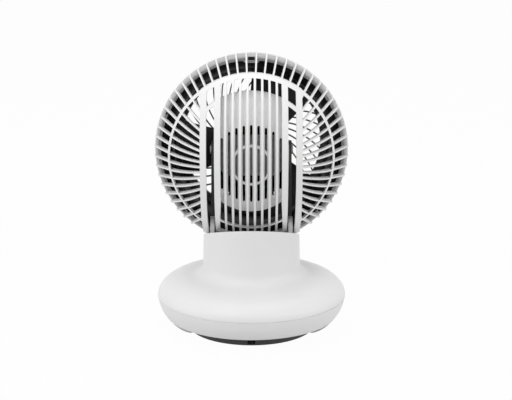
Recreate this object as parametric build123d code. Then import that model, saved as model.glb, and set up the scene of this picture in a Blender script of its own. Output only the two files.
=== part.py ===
from build123d import *
from math import acos, asin, atan2, cos, degrees, pi, radians, sin, sqrt, tan
import os

# Desk air circulator: a globe head in a two-arm yoke on a round swivelling base.
# Millimetres, +Z up. The origin is on the floor at the centre of the foot, on the swivel
# axis. The photographed side is the back and faces -Y; the air leaves towards +Y.
# The head is drawn in its own frame (x right, y up, z towards the back, origin where the
# tilt axis crosses the fan axis) and set in place by HEAD_PLACE.

os.makedirs("parts", exist_ok=True)

# ---------------------------------------------------------------- driving dimensions
# head, rear half
HEAD_R = 130.0          # rim radius, the widest ring of the head
RIM_HALF = 12.0         # the rim is straight this far before and behind the tilt axis
RIM_ROUND = 5.0         # rounding of the rim's rear edge
RIM_BAND = 9.0          # the dome and the mouth lie this far inside the rim
DOME_R = HEAD_R - RIM_BAND  # outer edges of the rear ribs over the pole
RIB_DEPTH = 6.0         # depth of the rear ribs, along the dome's normal
RIB_W = 2.2             # width of a radiating rib
RIB_COUNT = 60          # radiating ribs in a whole turn
PANEL_RIB_W = 3.0       # width of an upright rib of the middle panel
PANEL_PITCH = 9.35      # spacing of the upright ribs and of the motor cover's vents
PANEL_RIBS = 8
INNER_BAND = (38.9, 47.0)   # x of the upright band on each side of the panel
BAND_TAPER = 2.0        # the inner band's inner edge draws out this much at the foot
OUTER_BAND = (57.2, 65.5)   # x of the band outside the yoke slot
HOOP_R = (DOME_R - 14.8, DOME_R - 11.8)     # hoop that ties the radiating ribs
CROWN_R = (DOME_R - 16.3, DOME_R - 11.3)    # its wider stretch over the bands
STOP_BAR_R = (86.3, 90.6)   # bars that close the yoke slots above
PANEL_TIE_R = (86.4, 88.6)  # tie across the panel below
# head, rim and front half
SPLIT_Z = -2.0          # joint between rear grille and front housing
WALL = 2.5              # moulded wall
RIB_PROUD = 2.0         # the ribs stand this far outside the bell mouth
LIP_Z = 11.5            # rear face of the bell mouth
LIP_ROUND = 3.5
LIP_FALL = 1.5          # its inner edge lies this much deeper
MOUTH_R = HEAD_R - RIM_BAND     # inner edge of the bell mouth
THROAT_Z = -26.0        # the duct narrows from the mouth to here
DUCT_R = MOUTH_R - 14.0     # bore of the air duct
DUCT_WALL = 2.0
FRONT_Z = -64.0         # front edge of the housing
FRONT_OPENING_R = DUCT_R - 3.0      # opening that the front grille fills
FRONT_DOME_R = 420.0    # crown of the front grille
FRONT_DEPTH = 5.0       # depth of the front ribs
FRONT_RIBS = 36
FRONT_RIB_W = 1.7
SWIRL_R = 105.0         # radius of the arc that each front rib follows
SWIRL_REACH = 88.2      # centre of that arc from the fan axis
SWIRL_TURN = 3.6        # angle of the first arc's centre, anticlockwise from +x
FRONT_RING_W = 8.0      # width of its outer ring
FRONT_FLANGE_T = 2.0    # flange that seats behind the housing's lip
FRONT_HUB_R = 34.0      # ring in the middle of the front grille
FRONT_HUB_W = 4.0
CAP_T = 4.0             # disc in that ring
CAP_PROUD = 0.6
# clips round the rim
CLIP_TURNS = (0, 66, -66, 132, -132)    # degrees from the top
CLIP_TOP = (8.4, 5.0)   # width and height of the top window
CLIP_SIDE = (3.0, 3.0)
CLIP_R = MOUTH_R + 2.4  # middle of the windows
# motor pod inside the head
POD_HALF = 44.0         # half width of the pod between the yoke arms
COVER_SUNK = 8.0        # the motor cover lies this far inside the ribs
COVER_R = DOME_R - RIB_DEPTH - COVER_SUNK   # outer face of the motor cover
COVER_TOP_R = 88.5      # upper edge of the cover, a circle about the fan axis
COVER_LOW_R = 65.0      # lower edge
COVER_T = 2.5
VENT_W = 3.3            # vent slots of the cover
VENT_FIELD_R = 50.0
VENT_RING = (23.2, 26.4)    # unbroken ring across the vents
POD_WALL = 2.2
POD_FRONT_Z = -8.0
POD_FRONT_R = 56.0      # half height of the pod at its front wall
POD_FLARE = 27.0        # degrees, flare of the pod's top and bottom
SHELF_T = 2.0           # pad inside the pod that the tilt motor sits on
COVER_SCREW_DEPTH = 14.0
POST_R = 3.6            # screw posts between grille and cover
POST_X = 41.6
POST_Y = (-44.0, 50.0)
POST_PILOT = 7.0        # depth of the pilot hole in a post
# fan motor
SHAFT_R = 3.0
RUN_GAP = 0.05          # radial clearance of a running fit
BEARING_R = 8.0
BEARING_T = 5.0
TUBE_R = 10.5           # bearing tube
STATOR_R = 26.5
STATOR_Z = (-45.0, -15.0)
STATOR_POLES = 9
BELL_R = 29.0           # outside of the rotor's steel bell
BELL_T = 1.5
BELL_Z = (-51.0, -11.5)
# impeller
TIP_GAP = 3.5           # between the blade tips and the duct
TIP_R = DUCT_R - TIP_GAP
HUB_R = 32.0
HUB_Z = (-55.0, -13.0)
BLADES = 3
BLADE_SPAN = 88.0       # degrees that a blade covers at its tip
BLADE_PITCH = (42.0, 17.0)  # degrees, at the hub and at the tip
BLADE_T = 2.4
BLADE_Z = -35.0
BLADE_TURN = 56.0       # angle of the first blade, anticlockwise from +x
NUT_R = 13.0
NUT_T = 6.0
# yoke
ARM_X = 51.8            # middle of an arm
ARM_T = 4.0
ARM_EYE_R = 12.0        # top end of an arm, about the tilt axis
ARM_FRONT = 29.5        # z of the arm's front edge where it leaves the head
ARM_REAR = 45.0
ARM_EXIT_Y = -115.0
PIN_R = 4.0             # tilt pivot
PIN_HEAD = (6.5, 1.8)   # radius and thickness
BUSH_R = 6.0
SLEEVE_T = 5.6          # white sleeve round the foot of an arm
SLEEVE_TOP = -84.0
SLEEVE_Z = (27.0, 53.0)
FIT = 0.3               # free gap between moulded pieces
# swivelling base
YOKE_Z = (98.0, 102.0)  # cross plate of the yoke in the neck
CUP_GAP = 4.0           # room for the head in the neck
CUP_R = HEAD_R + CUP_GAP    # hollow in the neck that the head turns in
HEAD_Z = YOKE_Z[1] + 2.0 + CUP_R    # tilt axis above the floor
HEAD_Y = 34.0           # tilt axis in front of the swivel axis
NECK_R = 65.0
FLARE_R = 15.0          # flare between neck and dish
SLOPE = 25.2            # degrees, straight stretch of the dish's top
DISH_R = 126.8          # widest ring of the base
DISH_Z = 46.2           # its height, where the two shells part
SHOULDER_R = 23.8
BELLY_B = 62.0          # half height of the ellipse under the widest ring
SEAM_CUT = 1.0          # depth of the groove along the joint
SKIRT_Z = 3.0           # lower edge of the shell
FLOOR_Z = 13.0          # underside of the lower shell's floor
NOTCH_TURN = 63.0       # degrees each side of the back, room for a plug
NOTCH_Z = 20.0
# foot
FOOT_R = 85.8
FOOT_Z = 1.5            # the rubber pads lift the foot this much
FOOT_H = 10.5
FOOT_T = 3.0
FOOT_GAP = 0.8
POST = (14.0, 20.0)     # swivel post, bore and outside
POST_TOP = 31.0
BUSH_WALL = 3.0
PAD_R = 7.0
PAD_PITCH_R = 72.0
PADS = 5
JACK = (10.4, 4.8)      # opening of the supply jack
JACK_Z = 5.9            # middle of the opening above the floor
JACK_BODY = (13.0, 10.5, 7.5)
BALLAST_R = (30.0, 62.0)
BALLAST_T = 5.5
GLIDE_R = (66.0, 71.0)
# drives, one wheel and pinion pair used twice
MODULE = 1.5
WHEEL_TEETH = 40
PINION_TEETH = 10
GEAR_T = 4.0
BACKLASH = 0.3
MOTOR_R = 14.0
MOTOR_H = 15.0
SPINDLE_R = 2.5
SPINDLE_DEPTH = 12.0    # of the spindle in its motor
EAR_HALF = 3.5          # half width of a fixing ear
EAR_T = 1.2
TILT_DOWN, TILT_UP = 5.0, 85.0
# controls on the front of the dish
BUTTON_R = 5.6
BUTTON_RING_R = DISH_R - 27.8
BUTTON_TURNS = (-27.0, -9.0, 9.0, 27.0)     # degrees from the front
BUTTON_PROUD = 0.9
BUTTON_GAP = 0.35
BUTTON_FLANGE = (7.4, 1.2)
BUTTON_TRAVEL = 0.8
BOARD_T = 1.6
BOARD_Z = 56.0
BOARD_R = (BUTTON_RING_R - 12.0, BUTTON_RING_R + 10.0)
BOARD_TURN = 34.0
SWITCH_H = 4.0
LENS_R = 2.0
LENS_RING_R = BUTTON_RING_R + 9.0
# screws
SCREW_R = 1.5
SCREW_HEAD = (3.0, 2.0)
BOSS_R = 4.5
BASE_SCREW_R = 74.0
BASE_SCREW_TURNS = (35, 145, 215, 325)
YOKE_SCREW_R = NECK_R - 11.0

HEAD_PLACE = Pos(0, HEAD_Y, HEAD_Z) * Rot(90, 0, 0)
WHEEL_R = MODULE * WHEEL_TEETH / 2
PINION_R = MODULE * PINION_TEETH / 2
GEAR_CENTRES = WHEEL_R + PINION_R
SLOT = (INNER_BAND[1], OUTER_BAND[0])
BIG = 400.0             # longer than the object, for cutters
parts = {}


# ---------------------------------------------------------------- shared shapes
def rz(r, z):
    """A point of a profile that turns about the Z axis."""
    return (r, 0, z)


def turned(*edges):
    """A solid of revolution about Z from a closed profile."""
    return revolve(make_face(edges), Axis.Z)


def turned_outline(points):
    """The same from straight lines through (r, z) points."""
    return turned(Polyline(*[rz(*p) for p in points], close=True))


def tube(outer, inner, z0, z1):
    """A ring standing between two heights."""
    return turned_outline([(inner, z0), (outer, z0), (outer, z1), (inner, z1)])


def rod(radius, z0, z1):
    """A cylinder standing between two heights."""
    return Pos(0, 0, (z0 + z1) / 2) * Cylinder(radius, z1 - z0)


def block(x, y, z):
    """A box between two corners, given as three (low, high) pairs."""
    size = [high - low for low, high in (x, y, z)]
    middle = [(high + low) / 2 for low, high in (x, y, z)]
    return Pos(*middle) * Box(*size)


def cross_rod(radius, x0, x1):
    """A cylinder along X between two places, about the head's tilt axis."""
    return Rot(0, 90, 0) * rod(radius, x0, x1)


def arc_point(centre, radius, angle):
    """Point of a circle in a plane, by its angle in degrees."""
    return centre[0] + radius * cos(radians(angle)), centre[1] + radius * sin(radians(angle))


def wedge(radius, half_turn, z0, z1, facing=90.0):
    """A sector about Z, half_turn degrees each side of the direction it faces."""
    start, end = [arc_point((0, 0), radius, facing + turn) for turn in (-half_turn, half_turn)]
    arc = CenterArc((0, 0), radius, facing - half_turn, 2 * half_turn)
    face = make_face([Line((0, 0), start), arc, Line(end, (0, 0))])
    return extrude(Pos(0, 0, z0) * face, z1 - z0)


def around(turn, radius):
    """Place a shape on a circle about Z; turn counts from +Y towards +X."""
    return Rot(0, 0, -turn) * Pos(0, radius, 0)


def save(name, shape, place=None):
    """Keep one named node, set in the object's frame."""
    parts[name] = (place * shape) if place else shape


# ---------------------------------------------------------------- gears
def gear_face(teeth, half_thinning):
    """Outline of a spur gear with a tooth on +X, from short straight flanks."""
    pitch_r = MODULE * teeth / 2
    base_r = pitch_r * cos(radians(20))
    tip_r = pitch_r + 0.85 * MODULE
    root_r = pitch_r - 1.15 * MODULE
    half_tooth = pi / (2 * teeth) - half_thinning / pitch_r

    def involute(r):
        a = acos(min(1.0, base_r / r))
        return tan(a) - a

    def half_angle(r):
        return half_tooth + involute(pitch_r) - involute(max(r, base_r))

    radii = [root_r, pitch_r, tip_r]
    points = []
    for tooth in range(teeth):
        middle = 2 * pi * tooth / teeth
        flank = [(r, middle - half_angle(r)) for r in radii]
        flank += [(r, middle + half_angle(r)) for r in reversed(radii)]
        points += [(r * cos(a), r * sin(a)) for r, a in flank]
    return make_face(Polyline(*points, close=True))


def spur_gear(teeth, thickness, bore_r):
    """A spur gear standing on the XY plane."""
    return extrude(gear_face(teeth, BACKLASH / 4), thickness) - rod(bore_r, -1, thickness + 1)


def pinion_on_spindle(standoff):
    """The small gear, its gap turned to -X; its spindle runs down into the motor."""
    gear = Rot(0, 0, 180 / PINION_TEETH) * extrude(gear_face(PINION_TEETH, BACKLASH / 4), GEAR_T)
    return gear + rod(SPINDLE_R, -standoff - SPINDLE_DEPTH, GEAR_T)


def gear_motor():
    """A small can motor with two ears; its top is on the XY plane."""
    can = rod(MOTOR_R, -MOTOR_H, 0)
    reach = MOTOR_R + 2 * EAR_HALF
    motor = can + block((-reach, reach), (-EAR_HALF, EAR_HALF), (-EAR_T, 0))
    for x in ear_places():
        motor -= Pos(x, 0, 0) * rod(SCREW_R + 0.1, -EAR_T - 1, 1)
    return motor - rod(SPINDLE_R + RUN_GAP, -SPINDLE_DEPTH - 1, 1)


def ear_places():
    return (-MOTOR_R - EAR_HALF, MOTOR_R + EAR_HALF)


# ---------------------------------------------------------------- rear grille
# the dome's arc runs to the point from which a straight line meets the rim's corner
corner_r, corner_z = HEAD_R, RIM_HALF
corner_reach = sqrt(corner_r**2 + corner_z**2)
DOME_TURN = degrees(atan2(corner_r, corner_z) - acos(DOME_R / corner_reach))


def on_dome(radius, turn=DOME_TURN):
    """Point (r, z) of a sphere about the head's centre, turn degrees from the pole."""
    return radius * sin(radians(turn)), radius * cos(radians(turn))


def dome_solid(depth):
    """The head's rear envelope, moved inwards by depth, down to the joint."""
    radius = DOME_R - depth
    end_r, end_z = on_dome(radius)
    side_r = HEAD_R - depth
    low_z = SPLIT_Z - 1
    # centre of the rounding that touches the straight line and the rim's upright side
    mid_r = side_r - RIM_ROUND
    mid_z = (radius - RIM_ROUND - sin(radians(DOME_TURN)) * mid_r) / cos(radians(DOME_TURN))
    touch = mid_r + RIM_ROUND * sin(radians(DOME_TURN)), mid_z + RIM_ROUND * cos(radians(DOME_TURN))
    half = radians((90 + DOME_TURN) / 2)
    middle = mid_r + RIM_ROUND * sin(half), mid_z + RIM_ROUND * cos(half)
    return turned(
        Line(rz(0, low_z), rz(0, radius)),
        ThreePointArc(rz(0, radius), rz(*on_dome(radius, DOME_TURN / 2)), rz(end_r, end_z)),
        Line(rz(end_r, end_z), rz(*touch)),
        ThreePointArc(rz(*touch), rz(*middle), rz(side_r, mid_z)),
        Line(rz(side_r, mid_z), rz(side_r, low_z)),
        Line(rz(side_r, low_z), rz(0, low_z)),
    )


def strip(x, y):
    """An upright strip of the grille's plan."""
    return Pos((x[0] + x[1]) / 2, (y[0] + y[1]) / 2) * Rectangle(x[1] - x[0], y[1] - y[0])


def ring(radii):
    return Circle(radii[1]) - Circle(radii[0])


def grille_plan():
    """The rear grille as seen from behind: ribs, bands and hoops in one flat face."""
    reach = HEAD_R + 5
    crown = (HOOP_R[0] + HOOP_R[1]) / 2
    pieces = []
    for index in range(RIB_COUNT):
        turn = 180 / RIB_COUNT + index * 360 / RIB_COUNT
        side_x = abs(sin(radians(turn)))
        rises = cos(radians(turn))
        if side_x * crown < OUTER_BAND[1] and rises < 0:
            continue    # below, the panel's own ribs run to the rim
        start = max(crown, 0) if side_x * crown < OUTER_BAND[1] else (OUTER_BAND[1] - 1.5) / side_x
        rib = strip((-RIB_W / 2, RIB_W / 2), (start, reach))
        pieces.append(Rot(0, 0, -turn) * rib)
    hoop = ring(HOOP_R)
    for side in (-1, 1):
        hoop -= strip(sorted((side * SLOT[0], side * SLOT[1])), (-reach, 0))
    pieces.append(hoop)
    crown_band = ring(CROWN_R) & strip((-OUTER_BAND[1], OUTER_BAND[1]), (0, reach))
    pieces.append(crown_band)
    under_crown = Circle(crown) + strip((-reach, reach), (-reach, 0))
    bands = []
    for side in (-1, 1):
        bands.append(strip(sorted((side * OUTER_BAND[0], side * OUTER_BAND[1])), (-reach, reach)))
        inner, outer = INNER_BAND
        taper = inner + BAND_TAPER
        corners = [(inner, reach), (outer, reach), (outer, -reach)]
        corners += [(taper, -reach), (taper, -90), (inner, -50)]
        bands.append(make_face(Polyline(*[(side * x, y) for x, y in corners], close=True)))
        stop = ring(STOP_BAR_R) & strip(sorted((side * (SLOT[0] - 1), side * (SLOT[1] + 1))), (0, reach))
        pieces.append(stop)
    for index in range(PANEL_RIBS):
        x = (index - (PANEL_RIBS - 1) / 2) * PANEL_PITCH
        bands.append(strip((x - PANEL_RIB_W / 2, x + PANEL_RIB_W / 2), (-reach, reach)))
    pieces += [band & under_crown for band in bands]
    pieces.append(ring(PANEL_TIE_R) & strip((-INNER_BAND[0] - 2, INNER_BAND[0] + 2), (-reach, 0)))
    plan = Sketch() + pieces
    return plan & Circle(reach - 1)


def lip_form(low_z):
    """Solid behind the bell mouth's outer face."""
    side_r = HEAD_R - RIB_PROUD
    round_z = LIP_Z - LIP_ROUND
    corner = side_r - LIP_ROUND * (1 - cos(radians(45))), round_z + LIP_ROUND * sin(radians(45))
    return turned(
        Line(rz(0, low_z), rz(side_r, low_z)),
        Line(rz(side_r, low_z), rz(side_r, round_z)),
        ThreePointArc(rz(side_r, round_z), rz(*corner), rz(side_r - LIP_ROUND, LIP_Z)),
        Line(rz(side_r - LIP_ROUND, LIP_Z), rz(MOUTH_R, LIP_Z - LIP_FALL)),
        Line(rz(MOUTH_R, LIP_Z - LIP_FALL), rz(0, LIP_Z - LIP_FALL)),
        Line(rz(0, LIP_Z - LIP_FALL), rz(0, low_z)),
    )


def bell_mouth():
    """Lip between grille and front housing, with the windows of the grille's clips."""
    under = LIP_Z - LIP_FALL - WALL
    lip = lip_form(SPLIT_Z) - rod(HEAD_R - RIB_PROUD - WALL, SPLIT_Z - 1, under) - rod(MOUTH_R, 0, LIP_Z)
    return lip.cut(*[clip_window(turn) for turn in CLIP_TURNS])


def clip_window(turn):
    """Cutter for one clip window."""
    wide, high = CLIP_TOP if turn == 0 else CLIP_SIDE
    return around(turn, CLIP_R) * block((-wide / 2, wide / 2), (-high / 2, high / 2), (0, LIP_Z + 1))


def post_places():
    return [(side * POST_X, y) for side in (-1, 1) for y in POST_Y]


def rear_grille():
    lattice = extrude(Pos(0, 0, SPLIT_Z) * grille_plan(), DOME_R - SPLIT_Z)
    grille = lattice & (dome_solid(0) - dome_solid(RIB_DEPTH)) - lip_form(SPLIT_Z - 1)
    shell_mid = Sphere(DOME_R - 2) - Sphere(COVER_R)
    posts = [Pos(x, y, 0) * rod(POST_R, 0, DOME_R) & shell_mid for x, y in post_places()]
    pilots = []
    for x, y in post_places():
        foot = sqrt(COVER_R**2 - x * x - y * y)
        pilots.append(Pos(x, y, 0) * rod(SCREW_R - 0.2, 0, foot + POST_PILOT))
    return grille.fuse(*posts).cut(*pilots)


# ---------------------------------------------------------------- motor pod
def pod_plan(inset):
    """Outline of pod and cover from behind: two arcs about the fan axis, two flats."""
    half, top_r, low_r = POD_HALF - inset, COVER_TOP_R - inset, COVER_LOW_R - inset
    upper = Circle(top_r) & strip((-half, half), (0, BIG))
    lower = Circle(low_r) & strip((-half, half), (-BIG, 0))
    return upper + lower


def pod_form(inset, front_z):
    """The pod's body: flat sides, top and bottom flaring towards the back."""
    plan = extrude(Pos(0, 0, front_z) * pod_plan(inset), BIG)
    grow = tan(radians(POD_FLARE))
    length = DOME_R - front_z
    start = POD_FRONT_R - inset + (front_z - POD_FRONT_Z) * grow
    back_z = front_z + length
    flare = turned_outline([(0, front_z), (start, front_z), (start + length * grow, back_z), (0, back_z)])
    return plan & flare


def motor_housing():
    body = pod_form(0, POD_FRONT_Z)
    body -= pod_form(POD_WALL, POD_FRONT_Z + WALL)
    body += rod(TUBE_R, STATOR_Z[0], POD_FRONT_Z + WALL)
    body -= rod(SHAFT_R + 1.5, STATOR_Z[0] - 1, POD_FRONT_Z + WALL + 1)
    for z in bearing_places():
        body -= rod(BEARING_R, z, z + BEARING_T)
    # walls for the tilt pivots, and a way through for the tilt drive's spindle
    for side in (-1, 1):
        body += cross_rod(PIN_R + 4, *sorted((side * (POD_HALF - 8), side * (POD_HALF + 1.5))))
        body -= cross_rod(PIN_R, *sorted((side * (POD_HALF - 9), side * (POD_HALF + 2))))
    x0 = tilt_motor_x()
    shelf = cross_rod(MOTOR_R + 1, x0, POD_HALF - 1)
    for y in ear_places():
        shelf += Pos(0, y, 0) * cross_rod(EAR_HALF, x0, POD_HALF - 1)
    body += Pos(0, 0, GEAR_CENTRES) * shelf
    for y, radius in [(0, SPINDLE_R + 1), *[(y, SCREW_R - 0.2) for y in ear_places()]]:
        body -= Pos(0, y, GEAR_CENTRES) * cross_rod(radius, x0 - 1, POD_HALF + 2)
    # inner bosses that the cover's screws pass through; the cover closes the whole back
    bosses = [Pos(x, y, 0) * rod(BOSS_R, POD_FRONT_Z + WALL / 2, DOME_R) for x, y in cover_screw_places()]
    body = body.fuse(*bosses) & Sphere(COVER_R - COVER_T)
    for x, y in cover_screw_places():
        top = sqrt((COVER_R - COVER_T) ** 2 - x * x - y * y)
        body -= Pos(x, y, 0) * rod(SCREW_R, top - COVER_SCREW_DEPTH, DOME_R)
    return body


def bearing_places():
    """Lower ends of the two bearings along the fan axis."""
    return (STATOR_Z[0], POD_FRONT_Z + WALL - BEARING_T)


def cover_screw_places():
    return [(x, y) for x in (-30.0, 30.0) for y in (-38.0, 47.0)]


def motor_cover():
    cover = extrude(pod_plan(0), BIG) & (Sphere(COVER_R) - Sphere(COVER_R - COVER_T))
    vents = []
    count = int(VENT_FIELD_R / PANEL_PITCH)
    for index in range(-(count - 1), count):
        x = index * PANEL_PITCH
        half = sqrt(VENT_FIELD_R**2 - x * x) - VENT_W / 2
        slot = strip((x - VENT_W / 2, x + VENT_W / 2), (-half, half))
        slot += Pos(x, half) * Circle(VENT_W / 2)
        slot += Pos(x, -half) * Circle(VENT_W / 2)
        vents.append(slot - ring(VENT_RING))
    field = Sketch() + vents
    cover -= extrude(field, BIG)
    for x, y in cover_screw_places():
        cover -= Pos(x, y, 0) * rod(SCREW_R + 0.2, 0, BIG)
    for x, y in post_places():
        cover -= Pos(x, y, 0) * rod(SCREW_R + 0.2, 0, BIG)
    return cover


def headed_screw(length):
    """A pan-head screw: the head's seat is on the XY plane, the shank goes up."""
    head_r, head_t = SCREW_HEAD
    crown = [(0, -head_t), (head_r * 0.65, -head_t), (head_r, -head_t * 0.4)]
    head = turned_outline(crown + [(head_r, 0), (0, 0)])
    return head + rod(SCREW_R - 0.2, 0, length)


# ---------------------------------------------------------------- fan motor and impeller
def stator_core():
    core = tube(TUBE_R + 3, TUBE_R, *STATOR_Z)
    z0, z1 = STATOR_Z
    for index in range(STATOR_POLES):
        pole = block((TUBE_R + 2, STATOR_R - 1), (-1.6, 1.6), (z0 + 2, z1 - 2))
        shoe = block((STATOR_R - 2.2, STATOR_R - 0.6), (-5, 5), (z0 + 2, z1 - 2))
        core = core.fuse(Rot(0, 0, 360 * index / STATOR_POLES) * (pole + shoe))
    return core


def stator_coils():
    """One wound coil on each pole, as separate solids of one node."""
    z0, z1 = STATOR_Z
    coil = block((TUBE_R + 3.4, STATOR_R - 2.6), (-3.6, 3.6), (z0 + 0.3, z1 - 0.3))
    coil -= block((TUBE_R, STATOR_R), (-1.7, 1.7), (z0 + 1.9, z1 - 1.9))
    coil = coil - cone_outside()
    return Compound(children=[Rot(0, 0, 360 * i / STATOR_POLES) * coil for i in range(STATOR_POLES)])


def cone_outside():
    """What a coil may not reach into: the space of the coils beside it."""
    half = 180 / STATOR_POLES - 0.6
    whole = rod(STATOR_R + 5, STATOR_Z[0] - 5, STATOR_Z[1] + 5)
    return whole - wedge(STATOR_R + 8, half, STATOR_Z[0] - 6, STATOR_Z[1] + 6, facing=0)


def fan_rotor():
    """Steel bell round the stator, with the shaft fixed in its end."""
    front, back = BELL_Z
    bell = turned_outline([
        (SHAFT_R, front), (BELL_R, front), (BELL_R, back), (BELL_R - BELL_T, back),
        (BELL_R - BELL_T, front + BELL_T), (SHAFT_R, front + BELL_T),
    ])
    return bell + rod(SHAFT_R, HUB_Z[0] - NUT_T + 1, POD_FRONT_Z + WALL + 4)


def blade_section(reach, chord, pitch, camber):
    """Thin curved section of a blade, square to the blade's own length."""
    across = (0, cos(radians(pitch)), -sin(radians(pitch)))
    plane = Plane(origin=(reach, 0, BLADE_Z), x_dir=across, z_dir=(1, 0, 0))
    half = chord / 2
    upper = ThreePointArc((-half, BLADE_T / 2), (0, camber + BLADE_T / 2), (half, BLADE_T / 2))
    lower = ThreePointArc((half, -BLADE_T / 2), (0, camber - BLADE_T / 2), (-half, -BLADE_T / 2))
    ends = [Line((half, BLADE_T / 2), (half, -BLADE_T / 2)), Line((-half, -BLADE_T / 2), (-half, BLADE_T / 2))]
    return plane * make_face([upper, ends[0], lower, ends[1]])


def blade_plan():
    """A blade from the front: swept leading edge, round tip."""
    half = radians(BLADE_SPAN / 2)
    inner = HUB_R - 2

    def at(radius, angle):
        return (radius * cos(angle), radius * sin(angle))

    lead_mid = at((inner + TIP_R) / 2, half * 1.12)
    trail_mid = at((inner + TIP_R) / 2, -half * 0.86)
    outline = [
        ThreePointArc(at(inner, half * 0.9), lead_mid, at(TIP_R, half * 0.93)),
        ThreePointArc(at(TIP_R, half * 0.93), at(TIP_R, 0), at(TIP_R, -half)),
        ThreePointArc(at(TIP_R, -half), trail_mid, at(inner, -half * 0.9)),
        Line(at(inner, -half * 0.9), at(inner, half * 0.9)),
    ]
    return extrude(Pos(0, 0, HUB_Z[0] - 3) * make_face(outline), HUB_Z[1] - HUB_Z[0] + 4)


def impeller():
    front, back = HUB_Z
    hub = turned(
        Line(rz(0, front), rz(HUB_R - 8, front)),
        ThreePointArc(rz(HUB_R - 8, front), rz(HUB_R - 2.3, front + 2.3), rz(HUB_R, front + 8)),
        Line(rz(HUB_R, front + 8), rz(HUB_R, back)),
        Line(rz(HUB_R, back), rz(0, back)),
        Line(rz(0, back), rz(0, front)),
    )
    hub -= rod(BELL_R, BELL_Z[0], back + 1)
    tall = TIP_R + 6
    blank = loft([
        blade_section(BELL_R + 0.5, 80, BLADE_PITCH[0], 5),
        blade_section((BELL_R + tall) / 2, 130, sum(BLADE_PITCH) / 2 - 3, 8),
        blade_section(tall, 170, BLADE_PITCH[1], 10),
    ])
    blade = blank & blade_plan()
    blade = blade & rod(TIP_R, HUB_Z[0] + 1.5, HUB_Z[1] - 4)
    blades = [Rot(0, 0, BLADE_TURN + index * 360 / BLADES) * blade for index in range(BLADES)]
    wheel = hub.fuse(*blades)
    return wheel - rod(SHAFT_R, front - 1, back)


def hub_nut():
    """Rounded nut that holds the impeller on its shaft."""
    front = HUB_Z[0]
    nut = turned(
        Line(rz(0, front), rz(NUT_R, front)),
        ThreePointArc(rz(NUT_R, front), rz(NUT_R * 0.8, front - NUT_T * 0.7), rz(NUT_R * 0.4, front - NUT_T)),
        Line(rz(NUT_R * 0.4, front - NUT_T), rz(0, front - NUT_T)),
        Line(rz(0, front - NUT_T), rz(0, front)),
    )
    return nut - rod(SHAFT_R, front - NUT_T + 1, front + 1)


# ---------------------------------------------------------------- front half of the head
def housing_r(z):
    """Outside radius of the front housing: a globe through the rim's front edge."""
    return sqrt(corner_reach**2 - z * z)


def front_housing():
    z_mid = (-RIM_HALF + FRONT_Z) / 2
    inner = corner_reach - WALL
    front_r = housing_r(FRONT_Z)
    lip_r = FRONT_OPENING_R

    def inside_r(z):
        return sqrt(inner**2 - z * z)

    return turned(
        Line(rz(HEAD_R, SPLIT_Z), rz(HEAD_R, -RIM_HALF)),
        ThreePointArc(rz(HEAD_R, -RIM_HALF), rz(housing_r(z_mid), z_mid), rz(front_r, FRONT_Z)),
        Line(rz(front_r, FRONT_Z), rz(lip_r, FRONT_Z)),
        Line(rz(lip_r, FRONT_Z), rz(lip_r, FRONT_Z + WALL)),
        Line(rz(lip_r, FRONT_Z + WALL), rz(inside_r(FRONT_Z + WALL), FRONT_Z + WALL)),
        ThreePointArc(
            rz(inside_r(FRONT_Z + WALL), FRONT_Z + WALL), rz(inside_r(z_mid), z_mid),
            rz(inside_r(-RIM_HALF), -RIM_HALF),
        ),
        Line(rz(inside_r(-RIM_HALF), -RIM_HALF), rz(HEAD_R - WALL, SPLIT_Z)),
        Line(rz(HEAD_R - WALL, SPLIT_Z), rz(HEAD_R, SPLIT_Z)),
    )


def air_duct():
    """Black duct from the bell mouth to the front lip."""
    front = FRONT_Z + WALL
    top = LIP_Z - LIP_FALL - WALL
    outer = DUCT_R + DUCT_WALL
    # both faces of the mouth are arcs about one centre, upright at the throat
    wide, tall = MOUTH_R - DUCT_R, top - THROAT_Z
    bend = (wide**2 + tall**2) / (2 * wide)
    centre_r = DUCT_R + bend

    def mouth_point(radius, z):
        return centre_r - sqrt(radius**2 - (z - THROAT_Z) ** 2), z

    middle = (top + THROAT_Z) / 2
    return turned(
        ThreePointArc(rz(DUCT_R, THROAT_Z), rz(*mouth_point(bend, middle)), rz(MOUTH_R, top)),
        Line(rz(MOUTH_R, top), rz(*mouth_point(bend - DUCT_WALL, top))),
        ThreePointArc(
            rz(*mouth_point(bend - DUCT_WALL, top)), rz(*mouth_point(bend - DUCT_WALL, middle)),
            rz(outer, THROAT_Z),
        ),
        Line(rz(outer, THROAT_Z), rz(outer, front)),
        Line(rz(outer, front), rz(DUCT_R, front)),
        Line(rz(DUCT_R, front), rz(DUCT_R, THROAT_Z)),
    )


def front_shell(inset):
    """Crowned solid behind the front grille's outer face, moved back by inset."""
    ring_r = FRONT_OPENING_R - FIT
    drop = FRONT_DOME_R - sqrt(FRONT_DOME_R**2 - ring_r**2)
    centre = FRONT_Z - drop + FRONT_DOME_R + inset
    ball = Pos(0, 0, centre) * Sphere(FRONT_DOME_R)
    return ball & rod(ring_r + 2, centre - FRONT_DOME_R - 1, FRONT_Z + 8)


def swirl_rib(turn):
    """One front rib in plan: part of a circle beside the fan axis, leaning clockwise from behind."""
    band = Circle(SWIRL_R + FRONT_RIB_W / 2) - Circle(SWIRL_R - FRONT_RIB_W / 2)
    half = Pos(SWIRL_REACH, 0) * band & strip((-BIG, BIG), (0, BIG))
    return Rot(0, 0, turn) * (half - Circle(FRONT_HUB_R - 1.5))


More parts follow.
